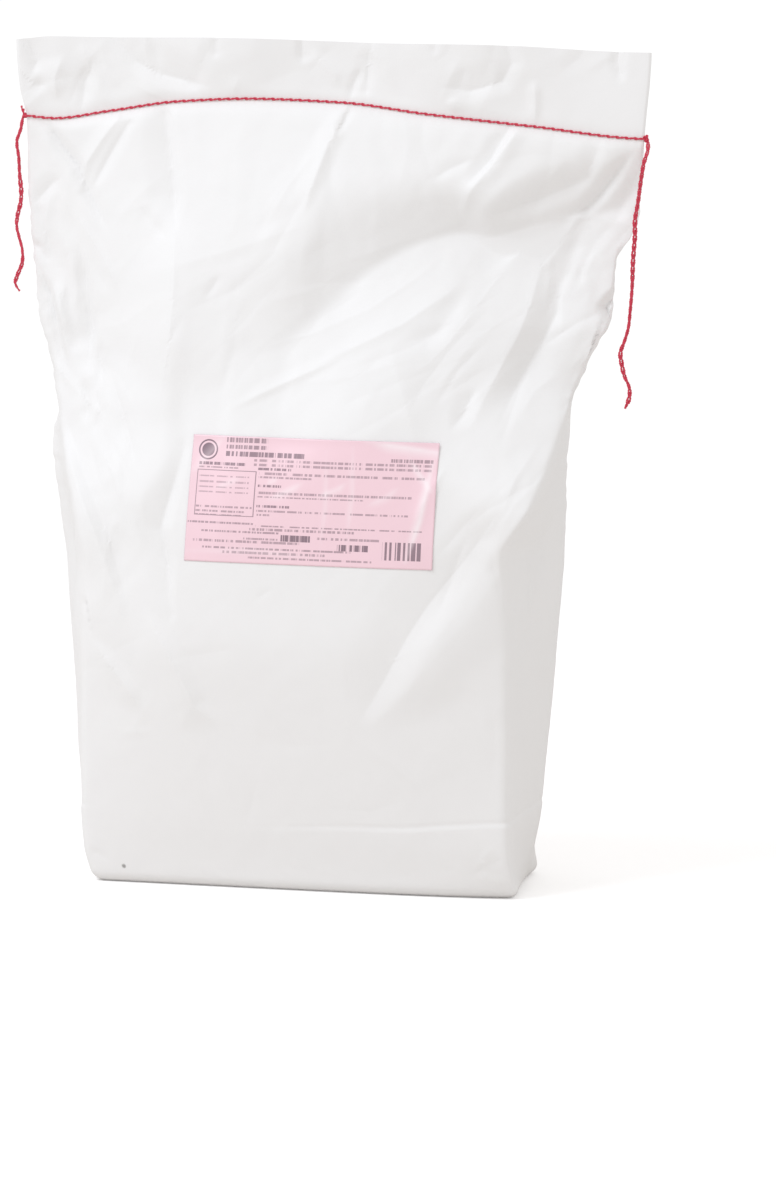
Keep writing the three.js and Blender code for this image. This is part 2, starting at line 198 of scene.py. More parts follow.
def finish_piece(
    name: str, mesh: bpy.types.Mesh, material: bpy.types.Material, node: Node
) -> bpy.types.Object:
    """Put a mesh in the scene as a piece of the sack.

    Args:
        name: the piece's name.
        mesh: its mesh, already in its place.
        material: its finish.
        node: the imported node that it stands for.

    Returns:
        The piece.
    """
    mesh.name = name
    mesh.materials.clear()
    mesh.materials.append(material)
    piece = add_object(name, mesh)
    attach(piece, "root")
    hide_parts(node.value)
    LOG.info("%s: %d faces", name, len(mesh.polygons))
    return piece


# ---------------------------------------------------------------------------------------------
# Curves and folds of the paper, worked out on whole arrays of points
# ---------------------------------------------------------------------------------------------


def ease(low: float, high: float, t: Array | float) -> Array:
    """0 below low, 1 above high, smooth between."""
    share = np.clip((np.asarray(t, float) - low) / (high - low), 0, 1)
    return share * share * (3 - 2 * share)


def curve_at(stations: Stations, t: Array | float) -> Array:
    """Read a smooth curve through stations, one that never overshoots them.

    Args:
        stations: (place, value) pairs in rising order of place.
        t: where the curve is read.

    Returns:
        The values at t, held level beyond both ends.
    """
    place, value = np.array(stations, float).T
    t = np.clip(np.asarray(t, float), place[0], place[-1])
    gap = np.diff(place)
    rise = np.diff(value) / gap
    product = rise[:-1] * rise[1:]
    total = rise[:-1] + rise[1:]
    inner = np.where(product > 0, 2 * product / np.where(total == 0, 1, total), 0)
    slope = np.concatenate([[0], inner, [0]])
    i = np.clip(np.searchsorted(place, t, side="left") - 1, 0, len(gap) - 1)
    u = (t - place[i]) / gap[i]
    bend = u * u * (3 - 2 * u)
    swing = gap[i] * u * (1 - u) * (slope[i] * (1 - u) - slope[i + 1] * u)
    return value[i] * (1 - bend) + value[i + 1] * bend + swing


@dataclass(frozen=True)
class Fold:
    """A fold of the paper: a crest along a line, falling off to both sides and narrowing to its ends.

    Attributes:
        line: points of the crest on its panel, in millimetres.
        height: how far it stands out, less than nothing for a valley.
        left: reach to the left of the line, walking along it.
        right: reach to the right, the same as left where it isn't given.
        crisp: 0 for a rounded crest, 1 for a sharp one.
        start, finish: share of the height that is left at the line's two ends.

        CREST_POWER: above 1, it makes the sides of a sharp crest hollow.
        RUN_IN: share of the line over which an end comes up to full height.
        NARROWEST: share of its reach that a fold has where nothing is left of its height.
        SHARP: crispness from which a fold has a crest line in the finish.
    """

    line: Sequence[tuple[float, float]]
    height: float
    left: float
    right: float | None = None
    crisp: float = 1.0
    start: float = 0.0
    finish: float = 0.0

    CREST_POWER = 1.4
    RUN_IN = 0.35
    NARROWEST = 0.4
    SHARP = 0.5

    def extent(self) -> tuple[float, float, float, float]:
        """Lowest and highest place across, then up, that the fold reaches."""
        reach = max(self.left, self.right or 0.0)
        across, up = zip(*self.line)
        return min(across) - reach, max(across) + reach, min(up) - reach, max(up) + reach

    def measure(self, across: Array, up: Array) -> tuple[Array, Array]:
        """Where points lie beside the line.

        Args:
            across, up: places on the panel.

        Returns:
            Distance from the line, above nothing to its left, and the share of the height left there.
        """
        points = np.array(self.line, float)
        lengths = np.hypot(*np.diff(points, axis=0).T)
        nearest = np.full(np.shape(across), np.inf)
        along = np.zeros_like(nearest)
        side = np.ones_like(nearest)
        passed = 0.0
        for start, end, length in zip(points[:-1], points[1:], lengths):
            way = (end - start) / length
            from_x, from_z = across - start[0], up - start[1]
            share = np.clip(from_x * way[0] + from_z * way[1], 0, length)
            off_x, off_z = from_x - share * way[0], from_z - share * way[1]
            distance = np.hypot(off_x, off_z)
            closer = distance < nearest
            nearest = np.where(closer, distance, nearest)
            along = np.where(closer, (passed + share) / lengths.sum(), along)
            side = np.where(closer, way[0] * off_z - way[1] * off_x, side)
            passed += length
        ends = np.minimum(
            self.start + (1 - self.start) * ease(0, self.RUN_IN, along),
            self.finish + (1 - self.finish) * ease(0, self.RUN_IN, 1 - along),
        )
        return np.where(side > 0, nearest, -nearest), ends

    def relief(self, across: Array, up: Array) -> Array:
        """Height of this fold at points of its panel."""
        distance, ends = self.measure(across, up)
        reach = np.where(distance > 0, self.left, self.left if self.right is None else self.right)
        narrowed = reach * (self.NARROWEST + (1 - self.NARROWEST) * ends)
        inside = 1 - np.clip(np.abs(distance) / narrowed, 0, 1)
        profile = ease(0, 1, inside) * (1 - self.crisp) + inside**self.CREST_POWER * self.crisp
        return self.height * ends * profile


@dataclass(frozen=True)
class Trough:
    """A broad flat fall of the front between two lines across it, and a slow rise below the lower one.

    Attributes:
        upper: height of the line where the fall begins, at each place across.
        lower: height of the line where it ends.
        depth: depth along the lower line.
        run_out: height over which the paper comes back below it.
        soft: share of the fall over which it gets steeper.
        level: share of the fall over which it levels out at its foot.
        brisk: share of the way back that starts briskly, where the rest starts gently.
    """

    upper: Stations
    lower: Stations
    depth: Stations
    run_out: float
    soft: float = 0.4
    level: float = 0.1
    brisk: float = 0.3

    def extent(self) -> tuple[float, float, float, float]:
        """Lowest and highest place across, then up, that the trough reaches."""
        lowest, highest = min(z for _, z in self.lower), max(z for _, z in self.upper)
        return self.depth[0][0], self.depth[-1][0], lowest - self.run_out, highest

    def relief(self, across: Array, up: Array) -> Array:
        """Height of the trough at points of its panel, never over nothing."""
        top, low = curve_at(self.upper, across), curve_at(self.lower, across)
        fall = np.clip((top - up) / (top - low), 0, 1)
        rise = np.clip((low - up) / self.run_out, 0, 1)
        begun = np.minimum(fall, self.soft)
        ended = np.maximum(fall - (1 - self.level), 0)
        fallen = fall - begun * (1 - begun / self.soft / 2) - 0.5 * ended**2 / self.level
        fallen /= 1 - 0.5 * self.soft - 0.5 * self.level
        risen = rise * (2 - rise) * self.brisk + ease(0, 1, rise) * (1 - self.brisk)
        return -curve_at(self.depth, across) * (fallen - risen)


@dataclass(frozen=True)
class HandlingCreases:
    """Small creases that handling has left in one area of a panel.

    Attributes:
        area: lowest and highest place across, then up.
        count: how many.
        length: shortest and longest.
        height: the highest.
        reach: how far the widest falls off to a side.
        lean: degrees that they lean to the right of upright, and how much that varies.
        seed: draws them.

        KINK: how far the middle lies off the straight, at most, as a share of half the length.
        HEIGHTS, REACHES: shares of the greatest height and reach that are drawn.
        OTHER_REACHES: shares of its left reach that a crease has on its right.
    """

    area: tuple[float, float, float, float]
    count: int
    length: tuple[float, float]
    height: float
    reach: float
    lean: tuple[float, float]
    seed: int

    KINK = 0.25
    HEIGHTS = (0.4, 1.0)
    REACHES = (0.6, 1.0)
    OTHER_REACHES = (0.6, 1.6)

    def folds(self) -> list[Fold]:
        """The creases as folds."""
        rng = random.Random(self.seed)
        found = []
        for _ in range(self.count):
            x, z = rng.uniform(*self.area[:2]), rng.uniform(*self.area[2:])
            angle = math.radians(rng.gauss(*self.lean))
            half = rng.uniform(*self.length) / 2
            run, rise = half * math.sin(angle), half * math.cos(angle)
            kink = rng.uniform(-self.KINK, self.KINK)
            line = [(x - run, z - rise), (x + kink * rise, z - kink * run), (x + run, z + rise)]
            height = self.height * rng.uniform(*self.HEIGHTS) * rng.choice((-1, 1))
            reach = self.reach * rng.uniform(*self.REACHES)
            found.append(Fold(line, height, reach, reach * rng.uniform(*self.OTHER_REACHES)))
        return found


@dataclass(frozen=True)
class Crumple:
    """Flat facets that handling has pressed into the paper, over a whole panel.

    Attributes:
        places: place and reach across, then up, and how crumpled the paper is there, 1 at most.
        least: how crumpled it is elsewhere.
        sizes: width of the facets, and how high they stand in fully crumpled paper.
        tall: how many times taller than wide they are.
        seed: draws them.

        LATTICE: corners each way, after which the drawn heights repeat.
        BEND: how far the slow waves that bend the facets' edges carry them, in facets.
        WAVES: those that bend them across, then up: length and start of a straight wave, length of a
            slanted one.
    """

    places: Sequence[tuple[float, float, float, float, float]]
    least: float
    sizes: tuple[tuple[float, float], ...] = ((36.0, 2.6), (17.0, 1.3), (8.0, 0.4))
    tall: float = 1.5
    seed: int = 1

    LATTICE = 64
    BEND = 0.32
    WAVES = ((3.1, 0.3, 4.7), (3.7, 0.8, 5.3))

    def amount(self, across: Array, up: Array) -> Array:
        """How crumpled the paper is at points of the panel."""
        found = np.full(np.shape(across), self.least)
        for x, wide, z, high, amount in self.places:
            found = np.maximum(found, amount * np.exp(-(((across - x) / wide) ** 2) - ((up - z) / high) ** 2))
        return found

    def facets(self, across: Array, up: Array, seed: int) -> Array:
        """Heights, -1 to 1, of flat triangles of about unit size that meet at sharp edges."""
        heights = np.random.default_rng(seed).uniform(-1, 1, (self.LATTICE, self.LATTICE))
        turn = 2 * np.pi

        def bend(along: Array, slant: Array, wave: tuple[float, float, float]) -> Array:
            length, start, slant_length = wave
            return self.BEND * (np.sin(turn * (along / length + start)) + np.sin(turn * slant / slant_length))

        bent = across + bend(up, across + up, self.WAVES[0])
        risen = up + bend(across, across - up, self.WAVES[1])
        # skewed so, a lattice of squares cut along a diagonal is one of even triangles
        skew = (bent + risen) * 0.5 * (3**0.5 - 1)
        u, v = bent + skew, risen + skew
        i, j = np.floor(u).astype(int), np.floor(v).astype(int)
        low, high = np.minimum(u - i, v - j), np.maximum(u - i, v - j)
        beside = u - i > v - j

        def height(di: Array | int, dj: Array | int) -> Array:
            return heights[(i + di) % self.LATTICE, (j + dj) % self.LATTICE]

        return (1 - high) * height(0, 0) + (high - low) * height(beside * 1, ~beside * 1) + low * height(1, 1)

    def relief(self, across: Array, up: Array) -> Array:
        """Height of the facets at points of the panel."""
        across, up = np.broadcast_arrays(across, up)
        total = sum(height * self.facets(across / size, up / size / self.tall, self.seed + k)
                    for k, (size, height) in enumerate(self.sizes))
        return total * self.amount(across, up)


def crest_lines(folds: Iterable[Fold], across: Array, up: Array, reach: float) -> tuple[Array, Array]:
    """The nearest sharp crest to each point of a panel.

    Args:
        folds: the folds, of which only the crisp ones count.
        across, up: places on the panel.
        reach: how near a crest has to be, in millimetres.

    Returns:
        Signed distance from it, and how strong it is, from -1 in a valley to 1, fading to 0 at the reach.
    """
    across, up = np.broadcast_arrays(across, up)
    distance = np.full(across.shape, reach)
    strength = np.zeros(across.shape)
    for fold in folds:
        if fold.crisp < Fold.SHARP:
            continue
        (left, right), (low, high) = ((min(c) - reach, max(c) + reach) for c in zip(*fold.line))
        near = (across > left) & (across < right) & (up > low) & (up < high)
        if near.any():
            away, ends = fold.measure(across[near], up[near])
            closer = np.abs(away) < np.abs(distance[near])
            own = math.copysign(min(1.0, abs(fold.height) / FULL_CREST), fold.height)
            distance[near] = np.where(closer, away, distance[near])
            strength[near] = np.where(closer, own * ends * (1 - np.abs(away) / reach), strength[near])
    return distance, strength


def relief_of(forms: Iterable[Fold | Trough], across: Array, up: Array) -> Array:
    """Height that several folds and troughs give together at points of a panel."""
    across, up = np.broadcast_arrays(across, up)
    total = np.zeros(across.shape)
    for form in forms:
        left, right, low, high = form.extent()
        near = (across > left) & (across < right) & (up > low) & (up < high)
        if near.any():
            total[near] += form.relief(across[near], up[near])
    return total


# The bulge of the front and back beyond the foot's depth, at each height.
FRONT_BELLY = [(0, 1), (60, 8.5), (150, 19), (205, 23.5), (250, 19.5), (330, 10.5), (420, -6), (500, -30),
               (580, -57), (635, -78), (655, MOUTH_BELLY), (720, MOUTH_BELLY)]
BACK_BELLY = [(0, 0), (60, 10), (150, 18), (250, 19), (330, 11), (420, -8), (500, -32), (580, -58),
              (635, -78), (655, MOUTH_BELLY), (720, MOUTH_BELLY)]


@dataclass(frozen=True)
class SideProfile:
    """How one side of the sack runs up from the floor.

    Attributes:
        gusset: reach of the gusset crease beyond half the foot's width, at each height.
        crease: the same of the two panel creases.
        crease_depth: how far the panel creases lie from the middle plane.
    """

    gusset: Stations
    crease: Stations
    crease_depth: Stations


RIGHT = SideProfile(
    gusset=[(0, 3), (14, 8), (36, 13), (60, 17), (140, 24), (215, 29), (290, 33), (392, 33), (424, 38),
            (446, 46), (466, 55), (484, 65), (504, 66), (548, 70), (566, 81), (590, 87), (655, 90),
            (720, MOUTH_SPREAD)],
    crease=[(0, 9), (20, 4), (45, 0), (65, -1), (140, -3), (215, -5), (289, -11), (318, 7), (345, 19),
            (390, 31), (424, 35), (466, 52), (484, 62), (548, 67), (590, 83), (655, 87),
            (720, MOUTH_SPREAD - 3)],
    crease_depth=[(0, 75), (20, 82), (45, HALF_DEPTH), (289, HALF_DEPTH), (318, 74), (345, 56), (390, 26),
                  (430, 8), (500, 5), (655, 2), (720, 2)],
)
LEFT = SideProfile(
    gusset=[(0, -3), (14, 9), (36, 18), (62, 24), (106, 30), (140, 32), (215, 39), (290, 46), (345, 56),
            (384, 59), (398, 50), (412, 52), (443, 61), (487, 72), (530, 76), (586, 82), (655, 85),
            (680, 91), (720, MOUTH_SPREAD)],
    crease=[(0, -4), (30, 3), (65, 5), (140, 6), (215, 7), (270, 7), (318, 17), (345, 27), (398, 46),
            (443, 57), (487, 68), (530, 73), (586, 79), (655, 82), (680, 88), (720, MOUTH_SPREAD - 3)],
    crease_depth=[(0, HALF_DEPTH), (225, HALF_DEPTH), (270, 78), (318, 58), (345, 42), (398, 10),
                  (443, 6), (500, 5), (655, 2), (720, 2)],
)

# The sewn line and the paper's top edge, as heights across the front.
SEAM_LINE = [(-272, 652), (-241, 650), (-192, 657), (-130, 666), (-62, 669), (10, 667), (85, 658),
             (176, 649), (272, 640)]
TOP_EDGE = [(-278, 717), (-243, 720), (-129, 720), (-24, 719), (61, 717), (153, 716), (272, 712)]

FRONT_FOLDS = [
    # the slack front hangs in a wide trough from the right end of the seam to the middle
    Trough(
        upper=[(-126, 556), (-44, 558), (-13, 571), (-3, 586), (7, 603), (41, 607), (94, 611), (124, 602),
               (140, 594), (159, 603), (182, 621), (211, 630), (231, 631), (265, 641)],
        lower=[(-126, 402), (-107, 404), (-78, 418), (-66, 446), (-28, 456), (-8, 474), (14, 496), (41, 520),
               (70, 540), (98, 552), (118, 557), (148, 550), (172, 551), (193, 557), (210, 567), (230, 574),
               (250, 581), (268, 596)],
        depth=[(-126, 0), (-102, 6), (-60, 12), (-38, 16), (-18, 20), (30, 25), (100, 26), (180, 29),
               (230, 23), (278, 10)],
        run_out=150,
    ),
    Fold([(231, 628), (223, 607), (189, 592), (155, 577), (135, 570)], -4.5, 13, 22, start=0.5),
    Fold([(263, 631), (249, 614), (235, 596), (221, 581), (199, 572)], -6, 9, 11),
    # the pull from the right notch down to the middle: a valley, and the ridge beside it
    Fold([(152, 304), (133, 278), (110, 248), (95, 223), (74, 181), (51, 139)],
         -4.4, 24, 40, crisp=0.5, start=0.5),
    Fold([(228, 452), (172, 270)], 20, 28, 104, crisp=0.3, start=0.2),
    Fold([(192, 322), (180, 298), (165, 270), (140, 232), (119, 207), (96, 176), (60, 139)],
         3.8, 40, 32, crisp=0.3, start=0.4),
    Fold([(160, 292), (166, 272), (172, 250)], -1.2, 10, 8),
    # the pull from the left notch
    Fold([(-232, 405), (-218, 375), (-194, 330), (-177, 297), (-160, 254), (-147, 226)],
         3.6, 14, 34, crisp=0.6),
    Fold([(-226, 405), (-208, 375), (-184, 330), (-167, 297), (-150, 254), (-138, 226)],
         -2.6, 30, 14, crisp=0.5, start=0.2),
    Fold([(-132, 240), (-118, 214), (-97, 181), (-86, 156), (-60, 138)], 3.8, 15, 32, crisp=0.7),
    Fold([(-182, 212), (-148, 172), (-128, 146)], 2.6, 12, 19, crisp=0.7),
    Fold([(-152, 130), (-121, 132)], 0.5, 6),
    Fold([(-180, 28), (-157, 18)], -1.0, 6),
    Fold([(-238, 464), (-186, 246)], 18, 108, 18, crisp=0.3, start=0.1, finish=0.15),
    # beside the label
    Fold([(-104, 372), (-108, 353), (-117, 319), (-120, 304), (-113, 276), (-110, 251), (-106, 232)],
         -5.5, 10, 22, start=0.2, finish=0.2),
    Fold([(-180, 438), (-161, 395), (-149, 364), (-145, 348)], -2.2, 9, 11),
    Fold([(-194, 424), (-184, 400), (-188, 372)], -1.8, 8),
    Fold([(121, 364), (110, 345), (101, 328), (94, 304)], 1.8, 7, 9),
    Fold([(140, 430), (130, 405), (120, 391)], -3, 12, 12),
    Fold([(-70, 403), (-36, 421), (-5, 436), (30, 453)], 1.5, 10, 6),
    Fold([(-18, 259), (-38, 246)], -0.4, 6),
    # the upper left: a V of creases under the seam, and flat facets down the left side
    Fold([(-259, 650), (-245, 643), (-233, 627), (-218, 609), (-208, 588), (-196, 568), (-183, 549)],
         -5, 9, 9, start=0.5),
    Fold([(-183, 650), (-197, 631), (-209, 612), (-214, 589)], 2.0, 8, 12, start=0.7, finish=0.3),
    Fold([(-174, 646), (-190, 617), (-204, 589)], -1.9, 10, 5, start=0.7, finish=0.3),
    Fold([(-232, 602), (-246, 588), (-259, 574)], -2.6, 10, 14),
    Fold([(-142, 655), (-138, 632), (-133, 609), (-128, 580), (-124, 552)], -6, 11, 26, start=0.7),
    Fold([(-162, 578), (-146, 560), (-130, 546)], -1.1, 10, 9),
    Fold([(-126, 566), (-122, 510), (-123, 460), (-129, 410)], 6, 42, 54, crisp=0.7, finish=0.2),
    Fold([(-215, 545), (-208, 518), (-199, 472), (-199, 430)], -6, 8, 17),
    Fold([(-237, 518), (-228, 477), (-220, 438)], 5, 13, 7),
    Fold([(-254, 528), (-241, 500), (-231, 471), (-220, 430)], -4.6, 7, 6),
    Fold([(-206, 430), (-196, 404), (-198, 384)], -3.2, 9, 10),
    Fold([(-193, 466), (-188, 440), (-184, 420)], -2.4, 9, 8),
    Fold([(-262, 545), (-250, 538), (-240, 524)], -2.4, 7, 8),
    # the upper middle
    Fold([(16, 664), (13, 652), (2, 626), (-9, 591), (-14, 566)], 3.2, 10, 17, start=0.6),
    Fold([(20, 664), (9, 637)], -2.6, 6, 6, start=0.6),
    Fold([(-82, 520), (-88, 508), (-96, 496)], -1.2, 7),
    Fold([(168, 652), (147, 621), (125, 591), (117, 568)], 3.6, 14, 12, start=0.7),
    Fold([(158, 652), (142, 620), (121, 596)], -4, 9, 13, start=0.7),
    Fold([(130, 622), (108, 612), (90, 600)], -1.6, 8, 10),
    # down the right side
    Fold([(224, 572), (211, 549), (202, 522), (201, 493), (191, 469), (172, 431), (156, 386)],
         -5, 25, 22, start=0.3),
    Fold([(205, 556), (186, 530), (180, 500), (172, 475), (152, 431), (134, 388)],
         6.5, 22, 68, crisp=0.7, start=0.3),
    Fold([(232, 556), (220, 530), (214, 508)], -1.8, 7, 7),
    Fold([(251, 512), (241, 498), (247, 484)], -10, 9, 8, start=0.6, finish=0.6),
    Fold([(258, 485), (233, 459), (217, 423), (213, 388)], 2.6, 5, 6),
    Fold([(-4, 438), (18, 451), (74, 479), (110, 506), (131, 529)], 1.4, 14, 9),
    Fold([(129, 515), (103, 473), (70, 461)], -2.4, 14, crisp=0.3),
    Fold([(262, 568), (225, 575), (208, 566), (185, 553), (163, 538), (140, 518)], 2.4, 26, 12, start=0.3),
    Fold([(180, 552), (150, 520), (128, 484), (104, 452), (76, 430)], 1.1, 26, 16),
    Fold([(118, 552), (84, 520), (46, 492), (-2, 470), (-60, 452)], 1.0, 24, 16),
    Fold([(150, 500), (118, 462), (96, 430), (84, 398)], -1.2, 18, 22),
]
BACK_FOLDS = [
    Fold([(212, 398), (186, 318), (150, 250), (92, 170)], 7, 26),
    Fold([(-214, 392), (-184, 306), (-138, 236), (-70, 160)], 8, 28),
    Fold([(-252, 600), (-180, 556), (-100, 520), (-20, 470)], -11, 56, crisp=0.5),
    Fold([(232, 590), (176, 520), (120, 440), (96, 380)], -8, 36, crisp=0.5),
    Fold([(60, 648), (48, 580), (20, 520)], 5, 22),
    Fold([(-150, 650), (-128, 596), (-88, 560)], 4, 18),
    Fold([(-96, 360), (-60, 300), (-52, 240)], -4, 26),
    Fold([(150, 300), (128, 250), (96, 214)], -4, 20, 14),
    Fold([(-40, 644), (-30, 600), (-6, 560)], -2.5, 16, 12),
]
RIGHT_FOLDS = [
    Fold([(-62, 306), (-54, 270), (-60, 214)], 3, 12, 18),
    Fold([(30, 330), (46, 250), (30, 160)], -4, 24),
    Fold([(-20, 338), (-34, 300), (-24, 262)], -2.5, 14),
    Fold([(-84, 300), (-70, 316), (-44, 330)], -2, 12),
]
LEFT_FOLDS = [
    Fold([(-50, 330), (-64, 250), (-50, 170)], 4, 20),
    Fold([(40, 300), (20, 220), (44, 140)], -4, 26),
]
MOUTH_FOLDS = [
    Fold([(-190, 722), (-170, 700), (-150, 690), (-125, 684), (-98, 677)], -3.4, 26, 12, start=0.8),
    Fold([(-208, 696), (-214, 682), (-216, 662)], -2.6, 14, 9, start=0.4, finish=0.6),
    Fold([(-232, 706), (-240, 684), (-238, 664)], 2.4, 12, 14),
    Fold([(-272, 692), (-262, 680), (-244, 677)], -1.6, 8, 10),
    Fold([(-268, 720), (-256, 700), (-262, 684)], -2.4, 14, 12, start=0.8),
    Fold([(-98, 722), (-99, 700)], -1.4, 8, 7, start=0.8),
    Fold([(-25, 724), (-23, 697)], -2.2, 14, 7, start=0.9),
    Fold([(-18, 712), (4, 690), (10, 676)], 1.6, 10, 12),
    Fold([(36, 716), (33, 698), (32, 678)], -2.4, 9, 12, start=0.4, finish=0.6),
    Fold([(28, 700), (20, 680), (18, 664)], -2.0, 8, 7, finish=0.8),
    Fold([(152, 720), (157, 702), (149, 686), (122, 678), (92, 681)], -3.2, 12, 22, start=0.8),
    Fold([(177, 690), (178, 655)], 2.2, 7, 9, finish=0.7),
    Fold([(104, 672), (112, 658)], 1.6, 12, 7, finish=0.7),
    Fold([(248, 722), (246, 704), (250, 684)], -2.4, 9, 8, start=0.8),
    Fold([(92, 722), (90, 706)], -1.2, 7, 6, start=0.8),
]
FINE_CREASES = [
    HandlingCreases((-262, -190, 390, 560), 22, (40, 110), 1.6, 12, (-16, 12), 11),
    HandlingCreases((200, 262, 420, 600), 16, (30, 80), 1.4, 11, (18, 16), 23),
    HandlingCreases((-180, 200, 400, 640), 30, (40, 130), 0.7, 13, (30, 34), 37),
    HandlingCreases((-100, 150, 400, 560), 22, (60, 160), 0.55, 14, (48, 14), 39),
    HandlingCreases((-200, -120, 230, 400), 12, (40, 90), 1.1, 12, (-18, 16), 41),
    HandlingCreases((110, 210, 250, 440), 12, (30, 90), 1.1, 11, (30, 12), 53),
    HandlingCreases((-180, 180, 70, 240), 14, (30, 90), 0.4, 12, (0, 60), 67),
    HandlingCreases((-178, 178, 4, 26), 22, (10, 34), 0.4, 5, (90, 14), 71),
    HandlingCreases((150, 182, 14, 44), 10, (10, 22), 0.7, 5, (60, 40), 73),
]
FINE_MOUTH_CREASES = [
    HandlingCreases((-270, -140, 662, 716), 12, (30, 70), 1.2, 12, (0, 50), 83),
    HandlingCreases((-140, 270, 666, 716), 16, (24, 60), 0.9, 12, (0, 40), 89),
]
FRONT_CRUMPLE = Crumple(
    [(-232, 50, 450, 120, 1.0), (-235, 40, 590, 60, 0.6), (238, 40, 520, 120, 0.8),
     (-178, 60, 330, 110, 0.45), (180, 60, 360, 110, 0.4), (0, 280, 560, 130, 0.32),
     (0, 200, 420, 60, 0.26), (165, 40, 25, 40, 0.3)],
    least=0.14, seed=3,
)
BACK_CRUMPLE = Crumple([(0, 300, 560, 200, 0.4), (220, 60, 450, 120, 0.8)], least=0.12, seed=11)
SIDE_CRUMPLE = Crumple([(0, 90, 330, 70, 0.5)], least=0.12, seed=17)
MOUTH_CRUMPLE = Crumple([(-200, 110, 690, 60, 0.75), (110, 180, 690, 60, 0.5)], least=0.35,
                        sizes=((46.0, 3.0), (21.0, 0.9)), tall=1.3, seed=23)
# The block bottom's folded edge, a low step round the sack, as height at each place across a panel.
BOTTOM_STEP_FRONT = [(-182, 53), (-29, 54), (40, 57), (90, 58), (132, 62), (182, 65)]
BOTTOM_STEP_SIDES = [(-90, 65), (-40, 71), (20, 76), (90, 82)]

FRONT_FORMS = [*FRONT_FOLDS, *(fold for creases in FINE_CREASES for fold in creases.folds())]
FRONT_LINES = [form for form in FRONT_FORMS if isinstance(form, Fold)]
MOUTH_FORMS = [*MOUTH_FOLDS, *(fold for creases in FINE_MOUTH_CREASES for fold in creases.folds())]


